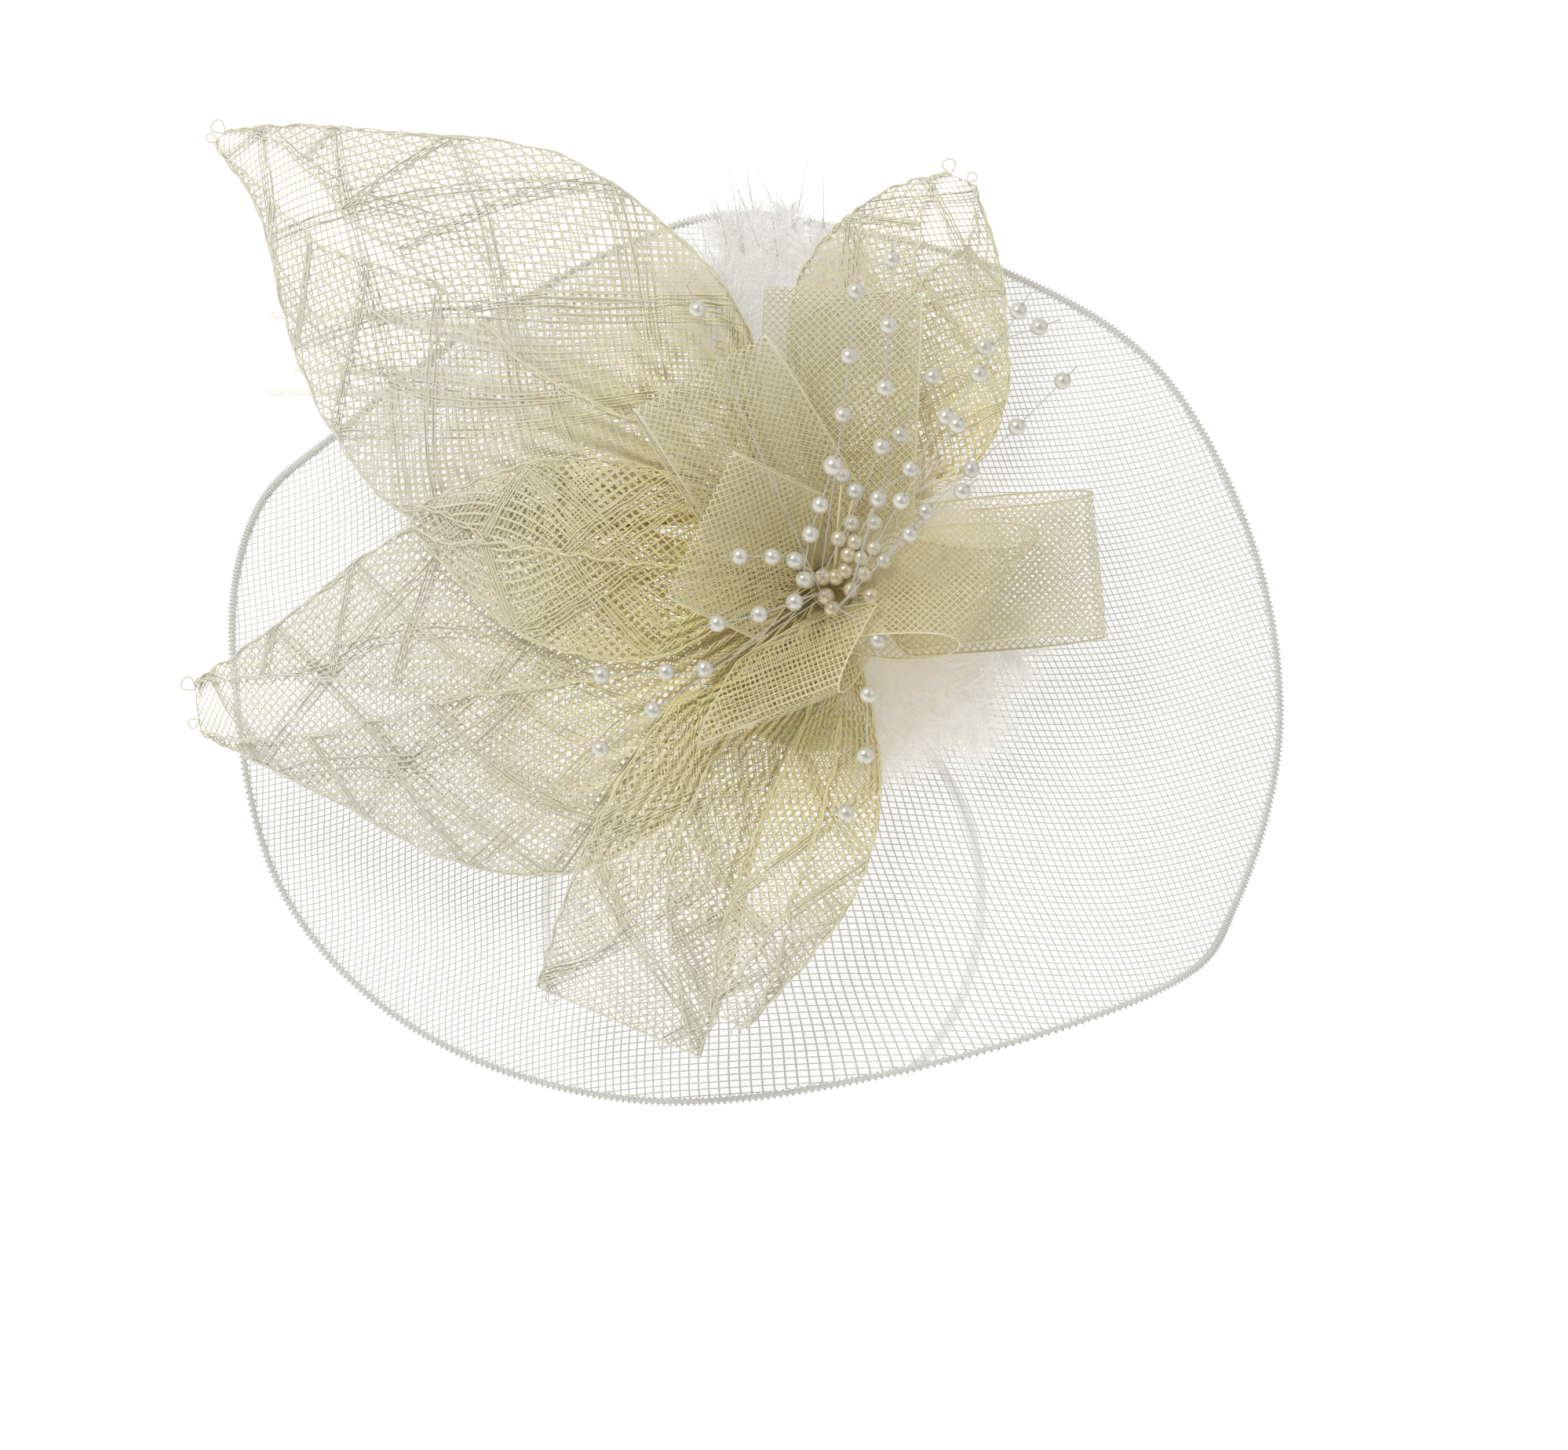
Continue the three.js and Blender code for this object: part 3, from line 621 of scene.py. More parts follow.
def ribLines(leaf, spot, crossing):
    # the window-pane ribs: thick threads laid side by side in both directions of the weave
    lines = []
    stations = np.linspace(0.05, 0.992, 170)
    reach = np.array([flapShare(leaf, s) for s in stations])
    half = (leafCommon["ribThreads"] - 1) / 2
    for family in (0, 1):
        for rib in range(-8, 9):
            for strand in range(leafCommon["ribThreads"]):
                level = (rib + leaf["shift"]) * leafCommon["ribPitch"]
                level += (strand - half) * leafCommon["ribSpacing"]
                phase = random.uniform(0, 6)
                wander = 0.25 * np.sin(stations * 50 + phase) + 0.18 * np.sin(stations * 130 + phase * 2)
                across = crossing(stations, level + wander, family)
                line = []
                for s, t, far in zip(stations, across, reach):
                    if -far < t < 1 + far:
                        line.append(folded(leaf, spot, s, t, leafCommon["ribLift"]))
                        continue
                    if len(line) > 4:
                        lines.append(line)
                    line = []
                if len(line) > 4:
                    lines.append(line)
    return lines


def makeLeaf(name, leaf):
    spot, weave, crossing, cutSize, cutArea = leafShape(leaf)
    layers = [clothSheet(70, 8 * leafCommon["pleats"], spot, weave)]
    for side in (0, 1):
        def flapSpot(s, t, side=side):
            share = flapShare(leaf, s) * t
            return folded(leaf, spot, s, -share - 1e-6 if side == 0 else 1 + share + 1e-6)

        def flapWeave(s, t, side=side):
            share = flapShare(leaf, s) * t
            return weave(s, -share if side == 0 else 1 + share)
        layers.append(clothSheet(70, 4 * leafCommon["pleats"], flapSpot, flapWeave))
    cloth = joined(layers)
    finish(cloth, name, [sinamay])
    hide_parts(leaf["node"])
    edges = []
    steps = 150
    for t, seed in ((0.0, 1), (1.0, 2)):
        for strand in range(leafCommon["edgeStrands"]):
            line = [spot(k / steps, t, 0.3 * strand - 0.2) for k in range(steps + 1)]
            edges.append(wavy(line, leafCommon["edgeWave"], 0.35 + 0.11 * strand, seed + strand * 5))
    for side in (0, 1):
        for strand in range(leafCommon["flapStrands"]):
            line = []
            for k in range(steps + 1):
                s = 0.3 + 0.7 * k / steps
                share = flapShare(leaf, s)
                line.append(spot(s, share if side == 0 else 1 - share, leafCommon["flapLift"] + 0.5))
            edges.append(wavy(line, leafCommon["flapWave"], 0.24 + 0.09 * strand, 11 + side + strand * 3))
    tipLine = [spot(1, k / 20, 0.2) for k in range(21)]
    edges.append(tipLine)
    for end, curlSize in leafCommon["curls"]:
        # a loop of loose thread at the tip
        away = np.array(spot(1, end)[:2]) - np.array(spot(0.93, 0.5)[:2])
        away /= np.hypot(*away)
        start = np.array(spot(1, end))
        side = np.array((-away[1], away[0]))
        ring = [curlSize * (away * math.sin(a / 2) + 0.42 * side * math.sin(a))
                for a in np.linspace(0, 2 * math.pi, 15)]
        edges.append([(*(start[:2] + step), start[2] + 0.3) for step in ring])
    cords = joined([tubes(edges, leafCommon["edgeRadius"], 1),
                    tubes(ribLines(leaf, spot, crossing), leafCommon["ribRadius"], 0)])
    finish(cords, name + "Ribs", [sinamayCord])
    print(name, "cut", [round(side, 3) for side in cutSize], "area", round(cutArea, 5))


random.seed(5)
for leafName, leafLook in leafSet.items():
    makeLeaf(leafName, leafLook)
print("leaves made")


loopCommon = {"stem": 7.7, "root": 5, "flare": 16, "parting": 0.75, "pleat": 0.36, "selvedge": 0.24}
loopSet = {
    "loopTopLeft": {"node": "crin_loop_top_left", "azimuth": 122, "length": 79, "width": 48, "height": 14,
                    "level": 17, "rise": 0.4, "skew": -2, "tip": 10},
    "loopLeft": {"node": "crin_loop_left", "azimuth": 155, "length": 46, "width": 50, "height": 12,
                 "level": 23, "rise": 0.72, "tip": -6, "flare": 7},
    "loopTop": {"node": "crin_loop_top", "azimuth": 88, "length": 94, "width": 50, "height": 9,
                "level": 12, "rise": 0.2},
    "loopRightUpper": {"node": "crin_loop_right_upper", "azimuth": -2, "length": 52, "width": 50,
                       "height": 27, "level": 26, "rise": 0.25, "skew": -34, "tip": -30, "flare": 8},
    "loopRight": {"node": "crin_loop_right", "azimuth": 5, "length": 85, "width": 48, "height": 16,
                  "level": 10, "rise": 0.12, "tip": -18},
    "loopBottom": {"node": "crin_loop_bottom", "azimuth": 246, "length": 46, "width": 54, "height": 25,
                   "level": 26, "rise": 0.25, "skew": 46, "tip": 28, "flare": 8},
}


def loopShape(loop):
    start = loopCommon["stem"]
    out = polar(1, loop["azimuth"])
    side = polar(1, loop["azimuth"] + 90 + loop.get("skew", 0))
    tip = math.radians(loop.get("tip", 0))
    flare = loop.get("flare", loopCommon["flare"])

    def spot(s, t):
        turn = (2 * s - 1) * math.pi
        far = (1 + math.cos(turn)) / 2
        reach = mix(start, loop["length"], far)
        opening = ease(start, start + flare, reach)
        width = mix(loopCommon["root"], loop["width"], opening)
        offset = (t - 0.5) * width
        belly = loop["height"] / 2 * math.sin(turn) * (0.35 + 0.65 * far)
        pleat = loopCommon["pleat"] * math.sin(t * 21) * (1 - opening)
        z = loop["level"] + loop["rise"] * (reach - start) + belly + loopCommon["parting"] * (2 * s - 1)
        lean = tip * opening
        x, y = out * reach + side * (offset * math.cos(lean) - belly * math.sin(lean))
        return x, y, z + pleat + offset * math.sin(lean) - belly * (1 - math.cos(lean))

    along = [0.0]
    for k in range(200):
        a, b = np.array(spot(k / 200, 0.5)), np.array(spot((k + 1) / 200, 0.5))
        along.append(along[-1] + np.linalg.norm(b - a))

    def weave(s, t):
        outward = min(1, max(-1, -2 * math.sin((2 * s - 1) * math.pi)))
        skew = math.radians(loop.get("skew", 0))
        b = (t - 0.5) * loop["width"]
        a = np.interp(s, np.linspace(0, 1, 201), along) - outward * b * math.sin(skew)
        b *= math.cos(skew)
        return (a + b) * 0.7071, (a - b) * 0.7071

    return spot, weave, along[-1]


def makeLoop(name, loop):
    spot, weave, length = loopShape(loop)
    ribbon = clothSheet(90, 16, spot, weave)
    finish(ribbon, name, [crinWeave])
    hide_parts(loop["node"])
    lines = [[spot(k / 120, t) for k in range(121)] for t in (0.0, 1.0)]
    edges = tubes(lines, loopCommon["selvedge"], 1)
    finish(edges, name + "Edges", [crinCord])
    flat = (loop["width"] * mm, length * mm)
    print(name, "cut", [round(side, 3) for side in flat])


for loopName, loopLook in loopSet.items():
    makeLoop(loopName, loopLook)

backLoop = {"width": 10, "lift": 1.3,
            "path": [(-50, -18), (-80, -20), (-103, -40), (-104, -60), (-78, -66), (-46, -60)]}


def makeBackLoop():
    path = [np.array(p, float) for p in backLoop["path"]]

    def spot(s, t):
        here = splinePoint(path, s)
        ahead = splinePoint(path, min(1, s + 0.01)) - splinePoint(path, max(0, s - 0.01))
        ahead /= np.hypot(*ahead)
        x, y = here + np.array((-ahead[1], ahead[0])) * (t - 0.5) * backLoop["width"]
        return x, y, brimHeight(x, y) + backLoop["lift"]

    length = sum(np.hypot(*(splinePoint(path, (k + 1) / 60) - splinePoint(path, k / 60))) for k in range(60))
    ribbon = clothSheet(60, 6, spot, lambda s, t: (s * length, t * backLoop["width"]))
    finish(ribbon, "loopBack", [crinWeave])
    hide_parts("crin_loop_back")


makeBackLoop()
print("ribbon loops made")


random.seed(7)
np.random.seed(7)
featherSet = {
    "marabouTop": {"node": "marabou_top", "azimuth": 102, "length": 129, "width": 54, "quills": 13,
                   "least": 0.88, "barbs": 600, "barb": 20, "rise": 0.04, "spiky": 52, "outer": 0.28},
    "marabouRight": {"node": "marabou_right", "azimuth": 40, "length": 60, "width": 46, "quills": 9,
                     "least": 0.72, "barbs": 380, "barb": 24, "rise": 0.1, "spiky": 0, "outer": 0.6},
    "marabouLowerRight": {"node": "marabou_lower_right", "azimuth": -44, "length": 74, "width": 84,
                          "quills": 14, "least": 0.72, "barbs": 460, "barb": 30, "rise": 0.12,
                          "spiky": 0, "outer": 0.7},
}


down = {"lift": 3.4, "foot": 7.6, "fan": 1.5, "barbWidths": (0.16, 0.4), "tipWidth": 0.5,
        "tipLengths": (16, 30), "tipFrom": 0.9, "quill": 0.3}


def curl(start, heading, length, bend, droop, steps=4):
    # one barb: starts along its heading and curls away
    points = [np.array(start, float)]
    way = np.array(heading, float)
    for _ in range(steps):
        way = way + bend + np.array((0, 0, droop))
        way /= np.linalg.norm(way)
        points.append(points[-1] + way * length / steps)
    return points


def makeMarabou(name, look):
    lines, widths, stems, tips = [], [], [], []
    for q in range(look["quills"]):
        across = (q + 0.5) / look["quills"] - 0.5
        spread = math.degrees(math.atan(look["width"] / look["length"]))
        azimuth = look["azimuth"] + across * spread * down["fan"]
        length = look["length"] * random.uniform(look["least"], 0.98) * (1 - 0.25 * abs(across))
        rise = look["rise"] * random.uniform(0.2, 1.6)
        out = polar(1, azimuth)
        side = polar(1, azimuth + 90)

        def quill(share, out=out, length=length, rise=rise):
            x, y = out * mix(down["foot"], length, share)
            return np.array((x, y, max(0.0, brimHeight(x, y)) + down["lift"] + rise * length * share))
        stems.append([quill(k / 8) for k in range(9)])
        for _ in range(look["barbs"]):
            share = random.random() ** look["outer"]
            lean = random.choice((-1, 1)) * random.uniform(0.35, 1.3)
            heading = np.array((*(out * 1.0 + side * lean), random.uniform(-0.25, 0.45)))
            heading /= np.linalg.norm(heading)
            reach = look["barb"] * random.uniform(0.4, 1.0) * (1 - 0.35 * share)
            bend = np.random.uniform(-0.22, 0.22, 3)
            lines.append(curl(quill(share), heading, reach, bend, random.uniform(-0.1, 0.06), 4))
            widths.append(random.uniform(*down["barbWidths"]))
        for _ in range(look["spiky"] // max(1, look["quills"])):
            heading = np.array((*(out + side * random.uniform(-0.35, 0.35)), random.uniform(-0.1, 0.1)))
            heading /= np.linalg.norm(heading)
            tips.append(curl(quill(down["tipFrom"]), heading, random.uniform(*down["tipLengths"]),
                             np.zeros(3), 0, 4))
    fluff = joined([strips(lines + tips, widths + [down["tipWidth"]] * len(tips)),
                    tubes(stems, down["quill"], 0, taper=True)])
    finish(fluff, name, [downWhite, quillTip] if tips else [downWhite])
    for polygon in fluff.data.polygons[4 * len(lines):4 * (len(lines) + len(tips))]:
        polygon.material_index = 1
    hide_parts(look["node"])
    print(name, len(lines), "barbs")


for featherName, featherLook in featherSet.items():
    makeMarabou(featherName, featherLook)

biots = {"azimuths": (150, 154, 158, 161), "lengths": (176, 200, 186, 191), "width": 7, "lift": 3.0}


def makeBiots():
    lines, widths, stems = [], [], []
    for azimuth, length in zip(biots["azimuths"], biots["lengths"]):
        out = polar(1, azimuth)
        side = polar(1, azimuth + 90)
        arch = -random.uniform(16, 34)

        def quill(share, out=out, side=side, length=length, arch=arch):
            x, y = out * (8 + (length - 8) * share) + side * arch * math.sin(share * math.pi)
            return np.array((x, y, brimHeight(x, y) + biots["lift"] + 1.5 * math.sin(share * 3)))
        stems.append([quill(k / 14) for k in range(15)])
        for k in range(150):
            share = 0.25 + 0.75 * k / 150
            for lean in (-1, 1):
                heading = np.array((*(out + side * lean * 0.45), 0.02))
                heading /= np.linalg.norm(heading)
                reach = biots["width"] * (1.2 - 0.5 * share) * random.uniform(0.8, 1.15)
                lines.append(curl(quill(share), heading, reach, np.zeros(3), 0, 2))
                widths.append(0.75)
    vanes = joined([strips(lines, widths), tubes(stems, 0.45, 0, taper=True)])
    finish(vanes, "biotFeathers", [quillCream])
    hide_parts("biot_feathers_left")


makeBiots()
print("feathers made")


pearlLook = {"radius": 2.75, "filament": 0.2, "ring": 5.8, "top": 26.7, "base": 14, "lead": 7, "big": 1.18,
             "stamen": 0.35}
spraySet = {
    "sprayRight1": ("pearl_spray_right_1", -68, 0.5, [(24, 16), (40, 29)]),
    "sprayRight2": ("pearl_spray_right_2", -52, 0.32, [(29, 23), (43, 36), (57, 49), (71, 63)]),
    "sprayRight3": ("pearl_spray_right_3", -20, 0.66, [(21, 26), (38, 49)]),
    "sprayRight4": ("pearl_spray_right_4", -6, 0.42, [(14, 27), (24, 36), (35, 52), (45, 65), (57, 84)]),
    "sprayRight5": ("pearl_spray_right_5", 9, 0.24, [(21, 47), (31, 65), (47, 74), (64, 80)]),
    "sprayTop1": ("pearl_spray_top_1", 108, 0.4, [(15, 43), (16, 61), (17, 80), (18, 100)]),
    "sprayTop2": ("pearl_spray_top_2", 124, 0.3, [(3, 53), (5, 71), (7, 91)]),
    "sprayFront": ("pearl_spray_front", 140, 0.6, [(-9, 2), (-7, 16), (-4, 25), (0, 37)]),
    "sprayTopLeft": ("pearl_spray_top_left", 156, 0.34, [(-42, 85)]),
    "sprayLeft1": ("pearl_spray_left_1", 172, 0.5, [(-12, 8), (-19, 9), (-29, 9)]),
    "sprayLeft2": ("pearl_spray_left_2", 190, 0.6, [(-12, -5), (-23, -9), (-36, -12)]),
    "sprayLeft3": ("pearl_spray_left_3", 208, 0.3, [(-40, -26), (-52, -27), (-72, -28)]),
    "sprayLeft4": ("pearl_spray_left_4", 226, 0.4, [(-56, -39), (-72, -51)]),
    "sprayBottom": ("pearl_spray_bottom", 275, 0.3, [(14, -17), (11, -34), (10, -53), (4, -71)]),
}
stamenHeads = [(3, 35), (7, 30), (14, 27), (6, 20), (2, 15), (13, 20), (13, 12), (16, 8), (5, 10), (9, 9),
               (1, 3), (4, 5), (-3, 3), (-8, 2), (-11, 8), (-2, -3), (6, -1), (12, -3), (-12, -5), (0, -7),
               (7, 14), (10, 4)]


def pearlMaterial():
    material, shade, shader = newMaterial("pearl lustre", 0.18, 0.0, 0.4)
    shader.inputs["Metallic"].default_value = 0.35
    shader.inputs["Specular IOR Level"].default_value = 0.5
    base = noise(shade, 300.0).colours((0.69, 0.67, 0.59), colourOf(shade, (0.60, 0.58, 0.50)))
    # painted shade: pearls near the stem take the deep yellow of light passing through the stacked layers
    hubShadeAmount = paintedHubShade(shade, 42) * 0.8
    tint = hubShadeAmount.node("ShaderNodeMix", {"data_type": "RGBA"}, {0: hubShadeAmount, 6: base, 7: (0.80, 0.66, 0.34, 1)}, 2)
    feed(shade, tint, shader.inputs["Base Color"])
    feed(shade, noise(shade, 900.0) * 0.2 + 0.18, shader.inputs["Roughness"])
    return material


def filamentMaterial():
    material, shade, shader = newMaterial("clear filament", 0.25)
    feed(shade, noise(shade, 200.0).colours((0.46, 0.46, 0.43), colourOf(shade, (0.62, 0.62, 0.58))),
         shader.inputs["Base Color"])
    return material


pearlSkin = pearlMaterial()
filamentSkin = filamentMaterial()
# the second colour is painted shade near the stem: a deep yellow for light through the stacked layers
stamenSkin = fibreMaterial("stamen thread", (0.80, 0.74, 0.50), (0.62, 0.50, 0.20), 40, 0.5, 1.0)


def makePearl():
    # a bead with the mouth of its drilled hole at each pole
    deselectAll()
    bpy.ops.mesh.primitive_uv_sphere_add(segments=20, ring_count=14, radius=pearlLook["radius"] * mm)
    bead = bpy.context.object
    for vertex in bead.data.vertices:
        if abs(vertex.co.z) > pearlLook["radius"] * mm * 0.985:
            vertex.co.z *= 0.72
    for polygon in bead.data.polygons:
        polygon.use_smooth = True
    return bead


beadModel = makePearl()


def beadAt(spot, along, size=1.0):
    bead = beadModel.copy()
    bead.data = beadModel.data.copy()
    bpy.context.scene.collection.objects.link(bead)
    way = trimTurn @ Vector(along).normalized()
    turn = Vector((0, 0, 1)).rotation_difference(way).to_matrix().to_4x4()
    bead.data.transform(Matrix.Translation(place(*spot)) @ turn @ Matrix.Scale(size, 4))
    return bead


def makeSpray(name, node, root, rise, beads):
    foot = polar(pearlLook["ring"], root)
    start = pearlLook["top"] + pearlLook["base"]
    spots = [np.array((x, y, start + rise * math.hypot(x, y))) for x, y in beads]
    turning = np.array((foot[0] * 1.05, foot[1] * 1.05, pearlLook["top"] + pearlLook["base"] * 0.85))
    before = spots[-2] if len(spots) > 1 else turning
    lead = (spots[-1] - before) / np.linalg.norm(spots[-1] - before) * pearlLook["lead"]
    route = [np.array((*foot, pearlLook["top"] + 0.3)), turning, *spots, spots[-1] + lead]
    steps = 12 * len(route)
    line = [splinePoint(route, k / steps) for k in range(steps + 1)]
    pieces = []
    for k, spot in enumerate(spots):
        ahead = route[k + 3] - route[k + 1]
        biggest = name == "sprayFront" and k == len(spots) - 1
        pieces.append(beadAt(spot, ahead, pearlLook["big"] if biggest else 1.0))
    count = len(pieces)
    beadsObject = joined(pieces)
    finish(beadsObject, name + "Pearls", [pearlSkin])
    thread = tubes([line], pearlLook["filament"], 1)
    finish(thread, name, [filamentSkin])
    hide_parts(node)
    return count


def makeStamens():
    heads, lines = [], []
    for x, y in stamenHeads:
        reach = math.hypot(x, y)
        head = np.array((x, y, pearlLook["top"] + 4.4 + 0.12 * reach))
        foot = np.array((x / reach * 1.2, y / reach * 1.2, pearlLook["top"] + 1.5))
        heads.append(beadAt(head, head - foot))
        bow = (head + foot) / 2 + np.array((0, 0, 1.5))
        lines.append([splinePoint([foot, bow, head], k / 10) for k in range(11)])
    beads = joined(heads)
    finish(beads, "stamenPearls", [pearlSkin])
    stems = tubes(lines, pearlLook["stamen"], 1)
    finish(stems, "stamenStems", [stamenSkin])
    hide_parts("stamen_cluster")


pearlCount = sum(makeSpray(name, *values) for name, values in spraySet.items())
makeStamens()
deselectAll()
bpy.data.objects.remove(beadModel)
print("pearls made:", pearlCount)


band = {"radius": 1.75, "halfWidth": 70, "height": 128, "sweep": math.radians(118), "flex": math.radians(38),
        "tip": 9, "wrapPitch": 5.5, "tipRadius": 2.6}


def archPoint(angle):
    depth = band["height"] / (1 - math.cos(band["sweep"]))
    return Vector((band["halfWidth"] * math.sin(angle), 0,
                   band["radius"] - depth * (1 - math.cos(angle)))) * mm


def satinMaterial():
    material, shade, shader = newMaterial("satin ribbon", 0.35, 0.4)
    # the emission is painted light: the satin glows to brighten the band where it lies in shade
    shader.inputs["Emission Color"].default_value = (1, 1, 1, 1)
    shader.inputs["Emission Strength"].default_value = 0.16
    fine = shade.node("ShaderNodeUVMap", {"uv_map": "UVMap"})
    u, v, _ = fine.parts()
    rib = ((u * 900).fract() - 0.5).size()
    base = noise(shade, 60.0).colours((0.96, 0.955, 0.93), colourOf(shade, (0.92, 0.91, 0.87)))
    feed(shade, base, shader.inputs["Base Color"])
    feed(shade, shade.node("ShaderNodeBump", None, {"Strength": 0.3, "Distance": 0.0001, "Height": rib}),
         shader.inputs["Normal"])
    return material


satin = satinMaterial()


def makeArm(name, side, nodes):
    # half of the wrapped wire, from the crown to the sewn tip; the overlaps of the ribbon stand proud
    rows, columns = 420, 16
    deselectAll()
    bpy.ops.mesh.primitive_grid_add(x_subdivisions=rows, y_subdivisions=columns, size=1)
    obj = bpy.context.object
    total = 0.0
    angles = np.linspace(0, band["sweep"], 400)
    lengths = [0.0]
    for a, b in zip(angles[:-1], angles[1:]):
        total += (archPoint(b) - archPoint(a)).length
        lengths.append(total)
    spots = []
    for vertex in obj.data.vertices:
        s, t = vertex.co.x + 0.5, vertex.co.y + 0.5
        run = s * total
        angle = side * np.interp(run, lengths, angles)
        centre = archPoint(angle)
        ahead = (archPoint(angle + side * 0.001) - centre).normalized()
        out = Vector((0, 1, 0))
        up = ahead.cross(out)
        turn = 2 * math.pi * t
        wrap = (run / mm / band["wrapPitch"] + t) % 1
        radius = band["radius"] * (0.97 + 0.09 * (1 - wrap) ** 2)
        swell = ease(total - band["tip"] * mm, total - band["tip"] * 0.5 * mm, run)
        radius = mix(radius, band["tipRadius"], swell)
        past = max(0, run - (total - band["tipRadius"] * mm)) / (band["tipRadius"] * mm)
        radius *= math.sqrt(max(0.0, 1 - past * past))
        spots.append(centre + (out * math.cos(turn) + up * math.sin(turn)) * radius * mm)
    obj.data.vertices.foreach_set("co", np.array(spots).ravel())
    pick(obj)
    bpy.ops.object.mode_set(mode="EDIT")
    bpy.ops.mesh.select_all(action="SELECT")
    bpy.ops.mesh.remove_doubles(threshold=1e-6)
    bpy.ops.mesh.normals_make_consistent(inside=False)
    bpy.ops.object.mode_set(mode="OBJECT")
    for polygon in obj.data.polygons:
        polygon.use_smooth = True
    obj.name = name
    obj.data.materials.append(satin)
    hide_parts(*nodes)
    bend = archPoint(side * band["flex"])
    ahead = (archPoint(side * (band["flex"] + 0.01)) - bend).normalized()
    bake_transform(obj)


makeArm("bandLeft", -1, ["headband_crown", "headband_arm_left", "headband_tip_left"])
makeArm("bandRight", 1, ["headband_arm_right", "headband_tip_right"])
print("headband made")


base = {"radius": 38, "thickness": 2.5, "centre": (-4, -14), "back": -3.2, "stitches": 64}


def feltMaterial():
    material, shade, shader = newMaterial("wool felt", 0.95, 0.3)
    fuzz = noise(shade, 2500.0, 4.0)
    cloud = noise(shade, 120.0, 3.0)
    feed(shade, cloud.colours((0.80, 0.77, 0.66), colourOf(shade, (0.70, 0.66, 0.54))),
         shader.inputs["Base Color"])
    feed(shade, shade.node("ShaderNodeBump", None, {"Strength": 0.6, "Distance": 0.0004, "Height": fuzz}),
         shader.inputs["Normal"])
    return material


felt = feltMaterial()


def tapeMaterial():
    material, shade, shader = newMaterial("floral tape", 0.7)
    spot = shade.node("ShaderNodeTexCoord", None, None, 3)
    rise = shade.node("ShaderNodeVectorMath", {"operation": "DOT_PRODUCT"}, {0: spot, 1: outAxis}, 1)
    turn = ((rise * 260.0) + noise(shade, 80.0) * 0.6).fract()
    feed(shade, turn.colours((0.50, 0.40, 0.15), colourOf(shade, (0.40, 0.31, 0.10))),
         shader.inputs["Base Color"])
    feed(shade, shade.node("ShaderNodeBump", None, {"Strength": 0.7, "Distance": 0.0004, "Height": turn}),
         shader.inputs["Normal"])
    return material


def makeBase():
    deselectAll()
    bpy.ops.mesh.primitive_cylinder_add(vertices=96, radius=base["radius"] * mm, depth=base["thickness"] * mm)
    pad = bpy.context.object
    bpy.ops.object.mode_set(mode="EDIT")
    bpy.ops.mesh.select_all(action="SELECT")
    bpy.ops.mesh.bevel(offset=0.0008, segments=3, affect="EDGES")
    bpy.ops.object.mode_set(mode="OBJECT")
    middle = place(*base["centre"], base["back"] + base["thickness"] / 2)
    pad.data.transform(Matrix.Translation(middle) @ trimTurn.to_4x4())
    smooth(pad, 40)
    finish(pad, "feltBase", [felt])
    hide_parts("base_pad")
    lines = []
    for k in range(base["stitches"]):
        angle = 360 * k / base["stitches"]
        inner = polar(base["radius"] - 3.2, angle) + np.array(base["centre"])
        outer = polar(base["radius"] + 0.15, angle + 1.4) + np.array(base["centre"])
        lines.append([(*inner, base["back"] + 0.3), (*inner, base["back"] - 0.12),
                      (*outer, base["back"] - 0.1), (*outer, base["back"] + base["thickness"])])
    thread = tubes(lines, 0.2, 1)
    finish(thread, "baseStitches", [edgeStitch])


makeBase()
for nodeName, skin in (("band_sleeve", felt), ("bound_stem", tapeMaterial())):
    node = bpy.data.objects[nodeName]
    for slot in node.material_slots:
        slot.material = skin
print("base made")


view = {"distance": 2500, "across": -15.25, "up": -43.5, "frameWidth": 499.5, "floorDrop": 0.5, "sky": 0.76,
        "glow": 0.6}


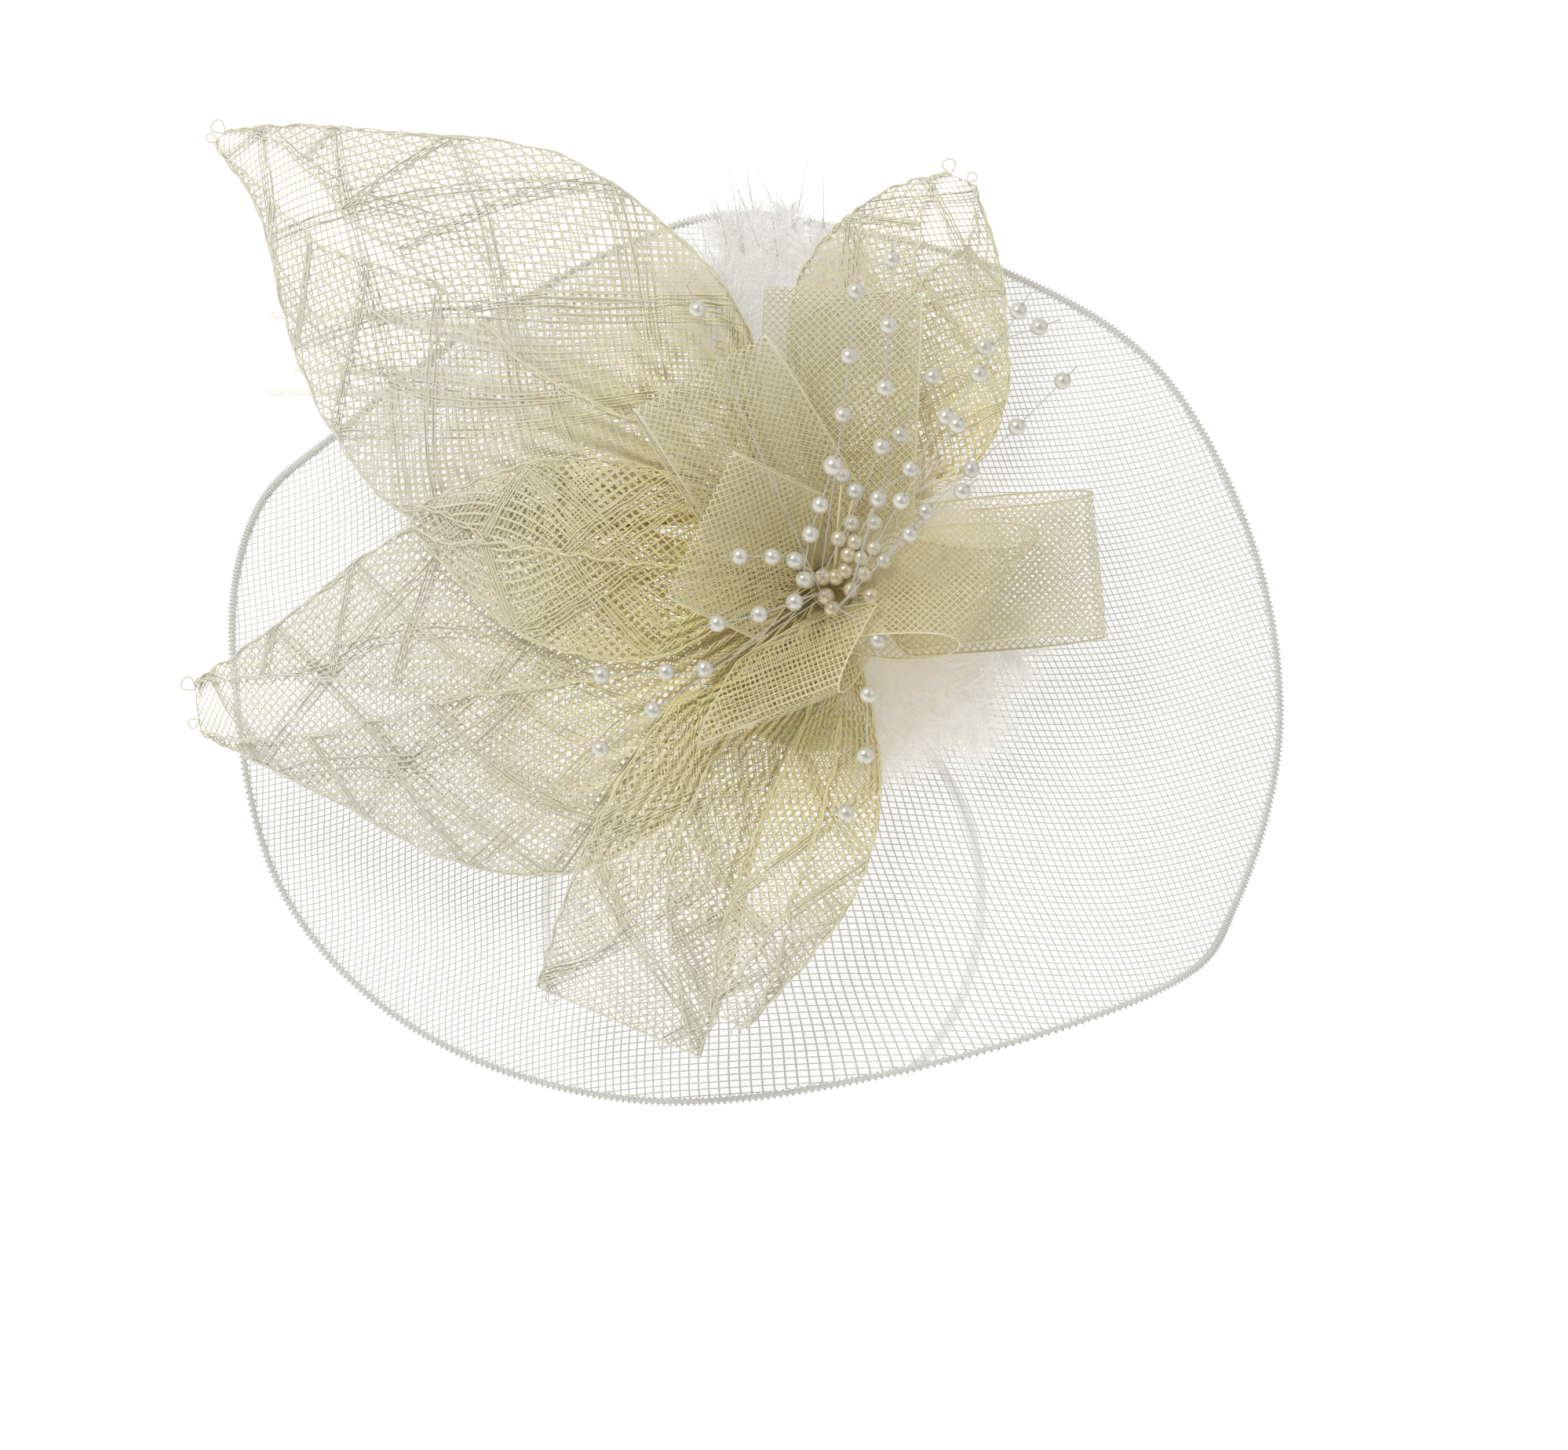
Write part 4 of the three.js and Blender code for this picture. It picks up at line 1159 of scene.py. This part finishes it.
def stageMaterial():
    material, shade, shader = newMaterial("pale sweep", 0.9)
    feed(shade, noise(shade, 3.0).colours((0.93, 0.93, 0.93), colourOf(shade, (0.95, 0.95, 0.95))),
         shader.inputs["Base Color"])
    shader.inputs["Emission Color"].default_value = (1, 1, 1, 1)
    shader.inputs["Emission Strength"].default_value = view["glow"]
    return material


def makeStage():
    deselectAll()
    bpy.ops.mesh.primitive_plane_add(size=12, location=(0, 0, cadBox[0][2] - view["floorDrop"]))
    floor = bpy.context.object
    floor.name = "floor"
    floor.data.materials.append(stageMaterial())
    world = bpy.data.worlds.new("soft tent")
    bpy.context.scene.world = world
    world.use_nodes = True
    shade = Shade(world.node_tree)
    sky = world.node_tree.nodes["Background"]
    spot = shade.node("ShaderNodeTexCoord", None, None, 0)
    facing = shade.node("ShaderNodeVectorMath", {"operation": "DOT_PRODUCT"}, {0: spot, 1: outAxis}, 1)
    hole = shade.node("ShaderNodeMapRange", {"interpolation_type": "SMOOTHSTEP"},
                      {0: facing, 1: 0.45, 2: 0.96})
    tint = hole.colours((1.0, 1.0, 1.0), colourOf(shade, (0.2, 0.2, 0.2)))
    feed(shade, tint, sky.inputs["Color"])
    sky.inputs["Strength"].default_value = view["sky"]
    for spotXyz, power, size in (((-500, 700, 900), 7.0, 0.6), ((700, 300, 700), 1.2, 0.8)):
        bpy.ops.object.light_add(type="AREA", location=place(*spotXyz))
        lamp = bpy.context.object
        lamp.data.energy = power
        lamp.data.size = size
        lamp.rotation_euler = (place(0, 0, 0) - lamp.location).to_track_quat("-Z", "Y").to_euler()


def makeCamera():
    data = bpy.data.cameras.new("camera")
    camera = bpy.data.objects.new("camera", data)
    bpy.context.scene.collection.objects.link(camera)
    data.sensor_width = 36
    data.lens = 36 * view["distance"] / view["frameWidth"]
    data.clip_end = 20
    turn = trimTurn.to_4x4()
    turn.translation = place(view["across"], view["up"], view["distance"])
    camera.matrix_world = turn
    bpy.context.scene.camera = camera


makeStage()
makeCamera()
scene = bpy.context.scene
scene.view_settings.view_transform = "Standard"
scene.cycles.transparent_max_bounces = 40
print("stage made")
